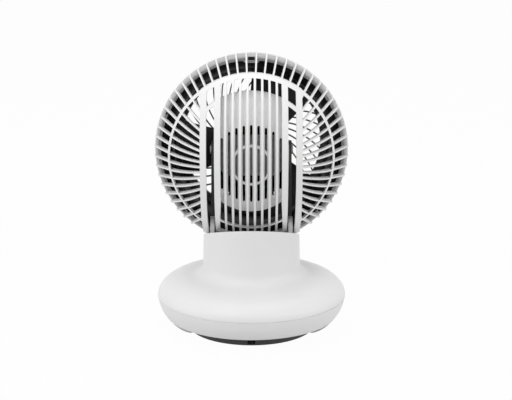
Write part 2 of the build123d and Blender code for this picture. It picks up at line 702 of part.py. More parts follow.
def front_grille():
    outer = FRONT_OPENING_R - FIT
    inner = outer - FRONT_RING_W
    middle = (inner + outer) / 2
    ribs = [swirl_rib(SWIRL_TURN + index * 360 / FRONT_RIBS) & Circle(middle) for index in range(FRONT_RIBS)]
    plan = Sketch() + [ring((inner, outer)), ring((FRONT_HUB_R - FRONT_HUB_W, FRONT_HUB_R)), *ribs]
    skin = front_shell(0) - front_shell(FRONT_DEPTH)
    grille = extrude(Pos(0, 0, FRONT_Z - 30) * plan, 40) & skin
    seat = FRONT_Z + WALL
    grille += tube(DUCT_R - FIT, middle, seat, seat + FRONT_FLANGE_T)
    return grille


def front_cap():
    """Plain disc in the middle of the front grille."""
    skin = front_shell(-CAP_PROUD) - front_shell(CAP_T - CAP_PROUD)
    return rod(FRONT_HUB_R - FRONT_HUB_W, FRONT_Z - 40, FRONT_Z) & skin


# ---------------------------------------------------------------- yoke
def arm_plan():
    """An arm from the side, as (z, y) drawn in the XY plane."""
    foot_y = YOKE_Z[1] - HEAD_Z
    eye = Circle(ARM_EYE_R)
    blade = make_face(Polyline(
        (-ARM_EYE_R + 0.6, -3), (ARM_EYE_R - 0.2, 2), (ARM_REAR, ARM_EXIT_Y), (ARM_REAR + 3, foot_y),
        (ARM_FRONT, foot_y), (ARM_FRONT, ARM_EXIT_Y), close=True,
    ))
    return eye + blade


def side_plate(plan, x0, x1):
    """Stand a (z, y) plan up as a plate between two places along X."""
    plate = extrude(plan, x1 - x0)
    return Pos(x0, 0, 0) * Rot(0, 90, 0) * mirror(plate, Plane.YZ)


def arm(side):
    x0 = side * ARM_X - ARM_T / 2
    foot_y = YOKE_Z[1] - HEAD_Z
    body = side_plate(arm_plan(), x0, x0 + ARM_T)
    inward = -side
    reach = sorted((side * ARM_X, side * ARM_X + inward * 14))
    body += block(reach, (foot_y, foot_y + ARM_T), (ARM_FRONT, ARM_REAR + 3))
    body -= cross_rod(BUSH_R, x0 - 1, x0 + ARM_T + 1)
    for z in arm_screw_z():
        body -= Pos(side * (ARM_X - 9), 0, z) * Rot(90, 0, 0) * rod(SCREW_R, -foot_y - 6, -foot_y + 2)
    return body


def arm_screw_z():
    return (ARM_FRONT + 3, ARM_REAR - 4)


def pivot_bush(side):
    x0 = side * ARM_X - ARM_T / 2
    flange = sorted((side * (ARM_X - ARM_T / 2), side * (ARM_X - ARM_T / 2 - 1.2)))
    bush = cross_rod(BUSH_R, x0, x0 + ARM_T) + cross_rod(BUSH_R + 1.6, *flange)
    return bush - cross_rod(PIN_R + RUN_GAP, -BIG / 4, BIG / 4)


def pivot_pin(side):
    outside = ARM_X + ARM_T / 2
    head_r, head_t = PIN_HEAD
    shank = cross_rod(PIN_R, *sorted((side * (POD_HALF - 7), side * (outside + 0.2))))
    head = cross_rod(head_r, *sorted((side * (outside + 0.2), side * (outside + 0.2 + head_t))))
    return shank + head


def arm_sleeve(side):
    """White sleeve that closes the slot round the foot of an arm."""
    low = YOKE_Z[1] - HEAD_Z + 4
    z0, z1 = SLEEVE_Z
    radius = 7.0
    plan = make_face(Polyline((z0, low), (z1, low), (z1, SLEEVE_TOP), (z0 + 4, SLEEVE_TOP), close=True))
    plan = fillet(plan.vertices().sort_by(Axis.Y)[-2:], radius)
    body = side_plate(plan, side * ARM_X - SLEEVE_T / 2, side * ARM_X + SLEEVE_T / 2)
    return body - side_plate(arm_slot_plan(), side * ARM_X - ARM_T / 2 - 0.1, side * ARM_X + ARM_T / 2 + 0.1)


def arm_slot_plan():
    """Room for the arm inside its sleeve."""
    low = YOKE_Z[1] - HEAD_Z + 2
    return make_face(Polyline(
        (-ARM_EYE_R - 2, 0), (ARM_EYE_R + 3, 0), (ARM_REAR + 0.6, ARM_EXIT_Y), (ARM_REAR + 3.6, low),
        (ARM_FRONT - 0.6, low), (ARM_FRONT - 0.6, ARM_EXIT_Y), close=True,
    ))


def yoke_plate():
    """Cross plate in the neck, carrying both arms."""
    plate = tube(NECK_R - WALL - FIT, 16, *YOKE_Z)
    for x, y in yoke_screw_places():
        plate -= Pos(x, y, 0) * rod(SCREW_R + 0.2, YOKE_Z[0] - 1, YOKE_Z[1] + 1)
    for side in (-1, 1):
        for z in arm_screw_z():
            plate -= Pos(side * (ARM_X - 9), HEAD_Y - z, 0) * rod(SCREW_R, YOKE_Z[0] - 1, YOKE_Z[1] + 1)
    return plate


def yoke_screw_places():
    return [(YOKE_SCREW_R * cos(radians(a)), YOKE_SCREW_R * sin(radians(a))) for a in (60, 120, 240, 300)]


def sector_gear():
    """Toothed sector on the right arm's inner side; the tilt pinion rolls on it."""
    wheel = extrude(gear_face(WHEEL_TEETH, BACKLASH / 4), GEAR_T - 0.4)
    tooth = 360 / WHEEL_TEETH
    middle = (TILT_UP - TILT_DOWN) / 2
    keep = wedge(WHEEL_R + 8, (TILT_UP + TILT_DOWN) / 2 + 2 * tooth, -1, GEAR_T, facing=-middle)
    sector = (wheel & keep) + rod(BUSH_R + 5, 0, GEAR_T - 0.4)
    sector -= rod(BUSH_R + 1.6 + FIT, -1, GEAR_T)
    x0 = ARM_X - ARM_T / 2 - (GEAR_T - 0.4)
    return Pos(x0, 0, 0) * Rot(0, 90, 0) * mirror(sector, Plane.YZ)


def tilt_pinion():
    x0 = ARM_X - ARM_T / 2 - GEAR_T - FIT
    pinion = pinion_on_spindle(x0 - tilt_motor_x())
    return Pos(x0, 0, GEAR_CENTRES) * Rot(0, 90, 0) * mirror(pinion, Plane.YZ)


def tilt_motor():
    return Pos(tilt_motor_x(), 0, GEAR_CENTRES) * Rot(0, 90, 0) * Rot(0, 0, 90) * gear_motor()


def tilt_motor_screws():
    x0 = tilt_motor_x() - EAR_T
    turn = Rot(0, 90, 0)
    return Compound(children=[Pos(x0, y, GEAR_CENTRES) * turn * headed_screw(4.5) for y in ear_places()])


def tilt_motor_x():
    return POD_HALF - POD_WALL - SHELF_T


# ---------------------------------------------------------------- base shells
# the dish's top: shoulder arc, straight slope, flare, upright neck
slope_sin, slope_cos = sin(radians(SLOPE)), cos(radians(SLOPE))
SHOULDER_C = (DISH_R - SHOULDER_R, DISH_Z)
SLOPE_LOW = (SHOULDER_C[0] + SHOULDER_R * slope_sin, SHOULDER_C[1] + SHOULDER_R * slope_cos)
FLARE_CR = NECK_R + FLARE_R
SLOPE_TOP_R = FLARE_CR - FLARE_R * slope_sin
SLOPE_TOP_Z = SLOPE_LOW[1] + (SLOPE_LOW[0] - SLOPE_TOP_R) * tan(radians(SLOPE))
FLARE_CZ = SLOPE_TOP_Z + FLARE_R * slope_cos
NECK_TOP = HEAD_Z - 80
SEAM_Z = DISH_Z


def upper_form(inset):
    """Solid inside the upper shell's outer face, moved inwards by inset."""
    shoulder = SHOULDER_R - inset
    flare = FLARE_R + inset
    start = (SHOULDER_C[0] + shoulder, SHOULDER_C[1])
    shoulder_end = arc_point(SHOULDER_C, shoulder, 90 - SLOPE)
    flare_c = (FLARE_CR, FLARE_CZ)
    flare_start = arc_point(flare_c, flare, 270 - SLOPE)
    flare_end = (NECK_R - inset, FLARE_CZ)
    return turned(
        ThreePointArc(rz(*start), rz(*arc_point(SHOULDER_C, shoulder, (90 - SLOPE) / 2)), rz(*shoulder_end)),
        Line(rz(*shoulder_end), rz(*flare_start)),
        ThreePointArc(rz(*flare_start), rz(*arc_point(flare_c, flare, 225 - SLOPE / 2)), rz(*flare_end)),
        Line(rz(*flare_end), rz(NECK_R - inset, NECK_TOP)),
        Line(rz(NECK_R - inset, NECK_TOP), rz(0, NECK_TOP)),
        Line(rz(0, NECK_TOP), rz(0, SEAM_Z)),
        Line(rz(0, SEAM_Z), rz(*start)),
    )


def seam_groove():
    """Cutter for the fine groove where the two shells meet."""
    return turned_outline([
        (DISH_R - SEAM_CUT, SEAM_Z), (DISH_R + SEAM_CUT, SEAM_Z - SEAM_CUT),
        (DISH_R + SEAM_CUT, SEAM_Z + SEAM_CUT),
    ])


def head_room():
    """The ball of space that the head turns in."""
    return Pos(0, HEAD_Y, HEAD_Z) * Sphere(CUP_R)


def button_places():
    return [(BUTTON_RING_R * sin(radians(t)), BUTTON_RING_R * cos(radians(t))) for t in BUTTON_TURNS]


def base_screw_places():
    return [(BASE_SCREW_R * cos(radians(a)), BASE_SCREW_R * sin(radians(a))) for a in BASE_SCREW_TURNS]


def board_posts():
    return [(98 * sin(radians(t)), 98 * cos(radians(t))) for t in (-18.0, 0.0, 18.0)]


def upper_shell():
    cavity = upper_form(WALL)
    body = upper_form(0) - cavity
    # bosses under the dish: shell screws, board posts; ledge for the yoke plate
    inside = []
    for x, y in base_screw_places():
        inside.append(Pos(x, y, 0) * rod(BOSS_R, SEAM_Z, NECK_TOP))
    for x, y in board_posts():
        inside.append(Pos(x, y, 0) * rod(2.2, BOARD_Z + BOARD_T, NECK_TOP))
    room = upper_form(WALL / 2)
    ledge = tube(DISH_R, YOKE_SCREW_R + 3, YOKE_Z[0] - 4, YOKE_Z[0]) & room
    lugs = [Pos(x, y, 0) * rod(BOSS_R, YOKE_Z[0] - 12, YOKE_Z[0]) for x, y in yoke_screw_places()]
    for x, y in button_places():
        inside.append(Pos(x, y, 0) * rod(BUTTON_FLANGE[0] + 1, button_low() + BUTTON_FLANGE[1], NECK_TOP))
    bosses = [boss & room for boss in inside]
    body = body.fuse(*bosses, ledge, *lugs)
    cutters = [Pos(x, y, 0) * rod(SCREW_R - 0.2, 0, SEAM_Z + 10) for x, y in base_screw_places()]
    for x, y in yoke_screw_places():
        cutters.append(Pos(x, y, 0) * rod(SCREW_R - 0.2, YOKE_Z[0] - 10, YOKE_Z[0] + 1))
    cutters += [Pos(x, y, 0) * rod(BUTTON_R + BUTTON_GAP, SEAM_Z, NECK_TOP) for x, y in button_places()]
    cutters += [Pos(0, LENS_RING_R, 0) * rod(LENS_R, SEAM_Z, NECK_TOP)]
    cutters += [head_room(), seam_groove()]
    return body.cut(*cutters)


def belly_form(inset, low_z):
    """Solid inside the lower shell's outer face, moved inwards by inset, up to the seam."""
    wide, tall = DISH_R - inset, BELLY_B - inset

    def at(z):
        return rz(wide * sqrt(1 - ((SEAM_Z - z) / tall) ** 2), z)

    middle = (low_z + SEAM_Z) / 2
    return turned(
        Line(rz(0, low_z), at(low_z)),
        ThreePointArc(at(low_z), at(middle), rz(wide, SEAM_Z)),
        Line(rz(wide, SEAM_Z), rz(0, SEAM_Z)),
        Line(rz(0, SEAM_Z), rz(0, low_z)),
    )


def lower_shell():
    outer = belly_form(0, SKIRT_Z) - seam_groove()
    cavity = belly_form(WALL, FLOOR_Z + WALL)
    notch = wedge(BIG, NOTCH_TURN, -1, NOTCH_Z, facing=-90) - rod(FOOT_R + FOOT_GAP, -2, NOTCH_Z + 1)
    keep = wedge(BIG, NOTCH_TURN + 2, -1, NOTCH_Z + WALL, facing=-90)
    keep -= rod(FOOT_R + FOOT_GAP - WALL, -2, NOTCH_Z + WALL + 1)
    body = outer - (cavity - keep) - notch - rod(FOOT_R + FOOT_GAP, 0, FLOOR_Z)
    # swivel bush, screw bosses, motor pillars
    bush = tube(POST[1] + BUSH_WALL, POST[1] + 1, FLOOR_Z, POST_TOP - 0.5)
    bosses = [Pos(x, y, 0) * rod(BOSS_R, FLOOR_Z, SEAM_Z) for x, y in base_screw_places()]
    seat = Pos(0, GEAR_CENTRES, 0) * rod(MOTOR_R + 2, FLOOR_Z, POST_TOP - MOTOR_H)
    pillars = [Pos(x, GEAR_CENTRES, 0) * rod(EAR_HALF - 0.5, FLOOR_Z, POST_TOP - EAR_T) for x in ear_places()]
    body = body.fuse(bush, seat, *pillars, *bosses)
    for x in ear_places():
        body -= Pos(x, GEAR_CENTRES, 0) * rod(SCREW_R - 0.2, POST_TOP - 10, POST_TOP)
    body -= rod(POST[1] + RUN_GAP, 0, BIG)
    for x, y in base_screw_places():
        body -= Pos(x, y, 0) * rod(SCREW_R + 0.1, 0, SEAM_Z + 1)
        body -= Pos(x, y, 0) * rod(SCREW_HEAD[0] + 0.3, 0, FLOOR_Z + SCREW_HEAD[1])
    return body


# ---------------------------------------------------------------- foot
def foot_plate():
    top = FOOT_Z + FOOT_H
    plate = turned_outline([
        (POST[0], FOOT_Z), (FOOT_R - 1, FOOT_Z), (FOOT_R, FOOT_Z + 1), (FOOT_R, top), (FOOT_R - FOOT_T, top),
        (FOOT_R - FOOT_T, FOOT_Z + FOOT_T), (POST[1], FOOT_Z + FOOT_T), (POST[1], POST_TOP), (POST[0], POST_TOP),
    ])
    wide, high = JACK
    mouth = block((-wide / 2, wide / 2), (-FOOT_R - 2, -FOOT_R + FOOT_T + 1), (JACK_Z - high / 2, JACK_Z + high / 2))
    mouth = fillet(mouth.edges().filter_by(Axis.Y), 1.6)
    plate -= mouth
    for x, y in pad_places():
        plate -= Pos(x, y, 0) * rod(PAD_R, 0, FOOT_Z + 1)
    for x, y in wheel_screw_places():
        plate -= Pos(x, y, 0) * rod(SCREW_R - 0.2, POST_TOP - 10, POST_TOP + 1)
    for x, y in ballast_screw_places():
        plate -= Pos(x, y, 0) * rod(SCREW_R + 0.2, 0, FOOT_Z + FOOT_T + 1)
    return plate


def pad_places():
    return [
        (PAD_PITCH_R * cos(radians(90 + i * 360 / PADS)), PAD_PITCH_R * sin(radians(90 + i * 360 / PADS)))
        for i in range(PADS)
    ]


def wheel_screw_places():
    middle = (POST[0] + POST[1]) / 2
    return [(middle * cos(radians(a)), middle * sin(radians(a))) for a in (30, 150, 270)]


def ballast_screw_places():
    middle = sum(BALLAST_R) / 2
    return [(middle * cos(radians(a)), middle * sin(radians(a))) for a in (90, 210, 330)]


def pan_wheel():
    """Fixed gear on the post; it also keeps the base shells from lifting off."""
    wheel = Pos(0, 0, POST_TOP) * Rot(0, 0, 90) * spur_gear(WHEEL_TEETH, GEAR_T, POST[0])
    for x, y in wheel_screw_places():
        wheel -= Pos(x, y, 0) * rod(SCREW_R, POST_TOP - 1, POST_TOP + GEAR_T + 1)
    return wheel


def rubber_feet():
    pad = rod(PAD_R, 0, FOOT_Z + 1)
    return Compound(children=[Pos(x, y, 0) * pad for x, y in pad_places()])


def supply_jack():
    """Jack body behind the opening, with its contact pin."""
    wide, deep, high = JACK_BODY
    front = -sqrt((FOOT_R - FOOT_T) ** 2 - (wide / 2) ** 2)
    low = FOOT_Z + FOOT_T
    body = block((-wide / 2, wide / 2), (front, front + deep), (low, low + high))
    mouth_w, mouth_h = JACK
    bore = block((-mouth_w / 2, mouth_w / 2), (front - 1, front + deep - 3), (low + 0.8, JACK_Z + mouth_h / 2))
    pin = Pos(0, front + deep - 3, JACK_Z + 0.4) * Rot(90, 0, 0) * rod(1.0, 0, deep - 4)
    return body - bore + pin


def ballast_ring():
    low = FOOT_Z + FOOT_T
    weight = tube(BALLAST_R[1], BALLAST_R[0], low, low + BALLAST_T)
    for x, y in ballast_screw_places():
        weight -= Pos(x, y, 0) * rod(SCREW_R - 0.2, 0, low + BALLAST_T + 1)
    return weight


# ---------------------------------------------------------------- controls
def button_top():
    """Solid under the dish's face, raised by the buttons' height."""
    return upper_form(-BUTTON_PROUD)


def button(turn):
    flange_r, flange_t = BUTTON_FLANGE
    spot = Rot(0, 0, -turn) * Pos(0, BUTTON_RING_R, 0)
    outline = BUTTON_R
    low = button_low()
    cap = spot * rod(outline, low, NECK_TOP) & button_top()
    return cap + spot * rod(flange_r, low, low + flange_t)


def button_low():
    """Underside of a button at rest, its travel above the switch."""
    return BOARD_Z + BOARD_T + SWITCH_H + BUTTON_TRAVEL + FIT


def control_board():
    board = wedge(BOARD_R[1], BOARD_TURN, BOARD_Z, BOARD_Z + BOARD_T) - rod(BOARD_R[0], 0, BIG)
    for x, y in board_posts():
        board -= Pos(x, y, 0) * rod(SCREW_R + 0.1, BOARD_Z - 1, BOARD_Z + BOARD_T + 1)
    return board


def touch_switches():
    """Small push switches on the board, one under each button."""
    low = BOARD_Z + BOARD_T
    can = block((-3, 3), (-3, 3), (low, low + SWITCH_H - 1.2)) + rod(1.7, low, low + SWITCH_H)
    return Compound(children=[around(turn, BUTTON_RING_R) * can for turn in BUTTON_TURNS])


def indicator_lens():
    lens = Pos(0, LENS_RING_R, 0) * rod(LENS_R, BOARD_Z + BOARD_T, NECK_TOP)
    return lens & upper_form(-0.2)


def driver_board():
    """Power and drive board on the lower shell's floor, with its larger parts."""
    low = FLOOR_Z + WALL
    board = block((-62, -32), (-30, 30), (low + 3, low + 3 + BOARD_T))
    top = low + 3 + BOARD_T
    legs = [Pos(x, y, 0) * rod(2, low, low + 3) for x in (-59, -35) for y in (-27, 27)]
    caps = [Pos(-54, y, 0) * rod(4, top, top + 10) for y in (-18, -8)]
    chips = block((-46, -38), (-6, 2), (top, top + 1.6)) + block((-58, -46), (8, 22), (top, top + 8))
    return board.fuse(*legs, *caps, chips)


def neck_cap():
    """Hollowed cap that closes the neck under the head, slotted for the sleeves."""
    outside = rod(NECK_R - WALL - 0.1, YOKE_Z[1], NECK_TOP)
    hollow = Pos(0, HEAD_Y, HEAD_Z) * Sphere(CUP_R + WALL)
    under = rod(NECK_R - 2 * WALL, YOKE_Z[1] - 1, NECK_TOP) - hollow
    cap = outside - under - head_room()
    for side in (-1, 1):
        x = sorted((side * ARM_X - SLEEVE_T / 2 - FIT, side * ARM_X + SLEEVE_T / 2 + FIT))
        z0, z1 = SLEEVE_Z
        cap -= block(x, (HEAD_Y - z1 - FIT, HEAD_Y - z0 + FIT), (YOKE_Z[1], NECK_TOP))
    return cap


# ---------------------------------------------------------------- the pieces, by name
def screws(places, length, flip=False):
    """One node of equal screws; each place is an (x, y, seat z) of its head."""
    turn = Rot(180, 0, 0) if flip else Rot(0, 0, 0)
    return Compound(children=[Pos(x, y, z) * turn * headed_screw(length) for x, y, z in places])


save("foot_plate", foot_plate())
save("rubber_feet", rubber_feet())
save("supply_jack", supply_jack())
save("ballast_ring", ballast_ring())
save("ballast_screws", screws([(x, y, FOOT_Z) for x, y in ballast_screw_places()], FOOT_T + BALLAST_T - 1))
save("glide_ring", tube(GLIDE_R[1], GLIDE_R[0], FOOT_Z + FOOT_T, FLOOR_Z))
save("pan_wheel", pan_wheel())
save("wheel_screws", screws([(x, y, POST_TOP + GEAR_T) for x, y in wheel_screw_places()], 9, flip=True))
save("pan_pinion", Pos(0, GEAR_CENTRES, POST_TOP) * Rot(0, 0, 90) * pinion_on_spindle(0))
save("pan_motor", Pos(0, GEAR_CENTRES, POST_TOP) * gear_motor())
save("pan_motor_screws", screws([(x, GEAR_CENTRES, POST_TOP) for x in ear_places()], 8, flip=True))

save("lower_shell", lower_shell())
save("upper_shell", upper_shell())
shell_screw_seat = FLOOR_Z + SCREW_HEAD[1]
shell_screw_length = SEAM_Z + 8 - FLOOR_Z
save("shell_screws", screws([(x, y, shell_screw_seat) for x, y in base_screw_places()], shell_screw_length))
save("driver_board", driver_board())
save("control_board", control_board())
save("touch_switches", touch_switches())
save("indicator_lens", indicator_lens())
for number, turn in enumerate(BUTTON_TURNS, 1):
    save(f"button_{number}", button(turn))

save("yoke_plate", yoke_plate())
save("yoke_screws", screws([(x, y, YOKE_Z[1]) for x, y in yoke_screw_places()], 10, flip=True))
save("neck_cap", neck_cap())
for side, name in ((-1, "left"), (1, "right")):
    save(f"{name}_arm", arm(side), HEAD_PLACE)
    save(f"{name}_arm_sleeve", arm_sleeve(side), HEAD_PLACE)
    save(f"{name}_pivot_bush", pivot_bush(side), HEAD_PLACE)
    save(f"{name}_pivot_pin", pivot_pin(side), HEAD_PLACE)
save("tilt_sector", sector_gear(), HEAD_PLACE)
save("tilt_pinion", tilt_pinion(), HEAD_PLACE)
save("tilt_motor", tilt_motor(), HEAD_PLACE)
save("tilt_motor_screws", tilt_motor_screws(), HEAD_PLACE)

save("rear_grille", rear_grille(), HEAD_PLACE)
save("bell_mouth", bell_mouth(), HEAD_PLACE)
save("motor_cover", motor_cover(), HEAD_PLACE)
save("motor_housing", motor_housing(), HEAD_PLACE)
save("front_housing", front_housing(), HEAD_PLACE)
save("air_duct", air_duct(), HEAD_PLACE)
save("front_grille", front_grille(), HEAD_PLACE)
save("front_cap", front_cap(), HEAD_PLACE)
save("stator_core", stator_core(), HEAD_PLACE)
save("stator_coils", stator_coils(), HEAD_PLACE)
bearing = tube(BEARING_R, SHAFT_R + RUN_GAP, 0, BEARING_T)
save("motor_bearings", Compound(children=[Pos(0, 0, z) * bearing for z in bearing_places()]), HEAD_PLACE)
save("fan_rotor", fan_rotor(), HEAD_PLACE)
save("impeller", impeller(), HEAD_PLACE)
save("hub_nut", hub_nut(), HEAD_PLACE)

for name, shape in parts.items():
    export_step(shape, f"parts/{name}.step")
    print(name, round(sum(solid.volume for solid in shape.solids())))
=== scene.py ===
# %% [markdown]
# # A desk air circulator, seen from behind
#
# The object is a globe-shaped circulator: a ribbed white guard over a black impeller, held by two
# arms that rise out of a round, dished base. The solid model is already in place, in metres, with
# +Z up and the photographed back towards -Y. This script dresses it: it gives every piece the
# finish of its real material, with a few colours painted lighter or darker to stand for light and
# shade, adds the small rounded forms that catch the light, and sets up a plain studio. Each step
# first says what the thing is and why it is made this way.

# %% Load the frame
import bpy
import bmesh
from math import acos, atan2, cos, pi, radians, sin, sqrt
from mathutils import Matrix, Vector


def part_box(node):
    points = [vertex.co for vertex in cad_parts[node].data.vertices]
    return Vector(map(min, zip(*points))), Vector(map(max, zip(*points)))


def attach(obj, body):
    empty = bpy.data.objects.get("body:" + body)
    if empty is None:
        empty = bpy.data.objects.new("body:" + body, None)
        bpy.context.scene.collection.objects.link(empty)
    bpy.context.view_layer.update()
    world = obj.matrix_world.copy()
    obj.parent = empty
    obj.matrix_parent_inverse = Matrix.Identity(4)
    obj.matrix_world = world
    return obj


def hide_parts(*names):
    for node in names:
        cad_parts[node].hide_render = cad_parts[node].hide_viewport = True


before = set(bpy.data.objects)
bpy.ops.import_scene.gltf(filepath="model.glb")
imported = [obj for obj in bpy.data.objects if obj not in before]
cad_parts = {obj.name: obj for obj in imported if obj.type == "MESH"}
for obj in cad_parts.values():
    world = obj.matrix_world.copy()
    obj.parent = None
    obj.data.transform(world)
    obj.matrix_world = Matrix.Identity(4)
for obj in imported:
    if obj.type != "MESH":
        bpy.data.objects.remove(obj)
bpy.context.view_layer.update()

# %% [markdown]
# ## Colours and nodes
#
# Colours are given as hex values, the way a paint chart gives them. Shaders work in linear
# light, so one function turns a hex value into linear numbers. A second small function adds a node
# with its settings and its links, which keeps each material short enough to read.

# %% Helpers for colours and nodes
MM = 0.001


def colour(code):
    """Linear RGBA of an sRGB hex value."""
    channels = [int(code[i:i + 2], 16) / 255 for i in (1, 3, 5)]
    linear = [c / 12.92 if c <= 0.04045 else ((c + 0.055) / 1.055) ** 2.4 for c in channels]
    return (*linear, 1.0)


def add(tree, kind, inputs=None, **settings):
    """A node of that kind; an input is a value, or a socket that is linked to it."""
    node = tree.nodes.new(kind)
    for name, value in settings.items():
        setattr(node, name, value)
    for name, value in (inputs or {}).items():
        if isinstance(value, bpy.types.NodeSocket):
            tree.links.new(value, node.inputs[name])
        else:
            node.inputs[name].default_value = value
    return node


# %% [markdown]
# ## Moulded plastic
#
# Nearly all of the object is ABS, moulded in a steel tool whose walls were spark-eroded, so the
# surface has a very fine, even grain: it breaks a highlight up without hiding it. A noise texture a
# fraction of a millimetre across gives that grain as a bump, and the same grain moves the roughness
# a little. A second, wide noise tints the colour by a percent or two, as pigment and dust do, so that
# large faces aren't dead flat. One function makes each colour of the same plastic.

# %% Moulded plastic materials
def moulded(name, base, rough=0.45, grain=0.6, bump=0.12, shift=0.03, rounding=0.35):
    """Moulded thermoplastic: grain in mm, a soft colour shift and edges that look rounded."""
    material = bpy.data.materials.new(name)
    material.use_nodes = True
    tree = material.node_tree
    shader = tree.nodes["Principled BSDF"]
    place = add(tree, "ShaderNodeTexCoord").outputs["Object"]
    fine = add(tree, "ShaderNodeTexNoise", {"Vector": place, "Scale": 1 / (grain * MM), "Detail": 2.0})
    wide = add(tree, "ShaderNodeTexNoise", {"Vector": place, "Scale": 1 / (45 * MM), "Detail": 3.0})
    darker = tuple(c * (1 - shift) for c in colour(base)[:3]) + (1.0,)
    tint = add(tree, "ShaderNodeMix", {"Factor": wide.outputs["Fac"]}, data_type="RGBA")
    tint.inputs[6].default_value = darker
    tint.inputs[7].default_value = colour(base)
    gloss = add(tree, "ShaderNodeMapRange", {
        "Value": fine.outputs["Fac"], "To Min": rough - 0.05, "To Max": rough + 0.06,
    })
    edge = add(tree, "ShaderNodeBevel", {"Radius": rounding * MM}, samples=4)
    relief = add(tree, "ShaderNodeBump", {
        "Height": fine.outputs["Fac"], "Strength": bump, "Distance": 0.05 * MM,
        "Normal": edge.outputs["Normal"],
    })
    tree.links.new(tint.outputs[2], shader.inputs["Base Color"])
    tree.links.new(gloss.outputs["Result"], shader.inputs["Roughness"])
    tree.links.new(relief.outputs["Normal"], shader.inputs["Normal"])
    shader.inputs["IOR"].default_value = 1.53
    return material


white_abs = moulded("white_moulded_abs", "#EDEDED", rough=0.42)
guard_abs = moulded("white_guard_abs", "#EFEFEF", rough=0.42, rounding=0.8)
# painted light: the motor cover is the same white plastic as the shell, painted brighter to make up for the
# shade that the guard's ribs cast on it
cover_white_painted_bright = moulded("painted_bright_white_cover", "#FCFCFC", rough=0.5)
# painted shade: the lip round the mouth is grey in place of the shade that falls in the recess between the
# guard's ribs; the clip tab takes the same grey
lip_shade_grey = moulded("painted_shade_grey_lip", "#B4B4B4", rough=0.45)
key_abs = moulded("button_moulded_abs", "#E4E4E4", rough=0.38, grain=0.4)
black_abs = moulded("black_moulded_abs", "#101010", rough=0.6, bump=0.08)
# painted shade: the motor housing is near black so that the vents show the dark of the pod's shaded inside
pod_dark_painted_shade = moulded("painted_shade_dark_pod", "#1C1C1C", rough=0.55, bump=0.15)
grey_abs = moulded("dark_grey_moulded_abs", "#585858", rough=0.4)
arm_nylon = moulded("dark_glass_filled_nylon", "#484848", rough=0.5, grain=0.9, bump=0.2, shift=0.08)
foot_abs = moulded("charcoal_moulded_abs", "#232323", rough=0.55, grain=0.8, bump=0.2)
shield_abs = moulded("pale_grey_shield_abs", "#D8D8D8", rough=0.6)
acetal = moulded("natural_acetal", "#DCD8C8", rough=0.34, grain=0.8, bump=0.05)
rubber = moulded("black_silicone_rubber", "#222224", rough=0.75, grain=1.0, bump=0.25, shift=0.1)
print("plastics made")

# %% [markdown]
# ## Metals, board and lens
#
# The bell, the pins and the weight are turned or pressed steel, the screws are zinc plated, the
# windings are enamelled copper, and the boards are green glass laminate. Turned steel is finely
# streaked round its axis, plating is cloudy, and laminate shows its cloth as a faint check.

# %% Metals, laminate and lens
def metal(name, base, rough, grain, stretch=(1, 1, 1)):
    """Bare or plated metal with streaks: grain in mm, stretched along an axis."""
    material = bpy.data.materials.new(name)
    material.use_nodes = True
    tree = material.node_tree
    shader = tree.nodes["Principled BSDF"]
    place = add(tree, "ShaderNodeTexCoord").outputs["Object"]
    scaled = add(tree, "ShaderNodeMapping", {"Vector": place, "Scale": stretch})
    streak = add(tree, "ShaderNodeTexNoise", {
        "Vector": scaled.outputs["Vector"], "Scale": 1 / (grain * MM), "Detail": 4.0,
    })
    gloss = add(tree, "ShaderNodeMapRange", {
        "Value": streak.outputs["Fac"], "To Min": rough - 0.08, "To Max": rough + 0.12,
    })
    tint = add(tree, "ShaderNodeMix", {"Factor": streak.outputs["Fac"]}, data_type="RGBA")
    tint.inputs[6].default_value = tuple(c * 0.82 for c in colour(base)[:3]) + (1.0,)
    tint.inputs[7].default_value = colour(base)
    relief = add(tree, "ShaderNodeBump", {
        "Height": streak.outputs["Fac"], "Strength": 0.15, "Distance": 0.03 * MM,
    })
    tree.links.new(tint.outputs[2], shader.inputs["Base Color"])
    tree.links.new(gloss.outputs["Result"], shader.inputs["Roughness"])
    tree.links.new(relief.outputs["Normal"], shader.inputs["Normal"])
    shader.inputs["Metallic"].default_value = 1.0
    return material


turned_steel = metal("turned_steel", "#B9BBBD", 0.32, 0.8, (1, 6, 1))
cast_steel = metal("cast_steel", "#8E9092", 0.5, 1.6)
zinc = metal("zinc_plated_steel", "#C2C4C6", 0.36, 0.9)
copper = metal("enamelled_copper_wire", "#B5683A", 0.3, 0.5, (1, 4, 4))


def laminate():
    """Green glass-cloth laminate with its weave just showing under the solder mask."""
    material = bpy.data.materials.new("glass_cloth_laminate")
    material.use_nodes = True
    tree = material.node_tree
    shader = tree.nodes["Principled BSDF"]
    place = add(tree, "ShaderNodeTexCoord").outputs["Object"]
    weave = add(tree, "ShaderNodeTexChecker", {
        "Vector": place, "Scale": 1 / (1.2 * MM), "Color1": colour("#1E5A36"), "Color2": colour("#236640"),
    })
    tree.links.new(weave.outputs["Color"], shader.inputs["Base Color"])
    shader.inputs["Roughness"].default_value = 0.3
    return material


def frosted_lens():
    """Clear acrylic with a frosted face, as over an indicator light that is off."""
    material = bpy.data.materials.new("frosted_acrylic")
    material.use_nodes = True
    tree = material.node_tree
    shader = tree.nodes["Principled BSDF"]
    place = add(tree, "ShaderNodeTexCoord").outputs["Object"]
    frost = add(tree, "ShaderNodeTexNoise", {"Vector": place, "Scale": 1 / (0.3 * MM)})
    gloss = add(tree, "ShaderNodeMapRange", {"Value": frost.outputs["Fac"], "To Min": 0.2, "To Max": 0.35})
    tree.links.new(gloss.outputs["Result"], shader.inputs["Roughness"])
    shader.inputs["Base Color"].default_value = colour("#D5D8DA")
    shader.inputs["IOR"].default_value = 1.49
    return material


board_material = laminate()
lens_material = frosted_lens()
print("metals, laminate and lens made")

# %% [markdown]
# ## Dress the solid pieces
#
# The solids already have the right outline, so most of them only need their material. A table from
# material to pieces is easier to check against the real object than a call for every piece.

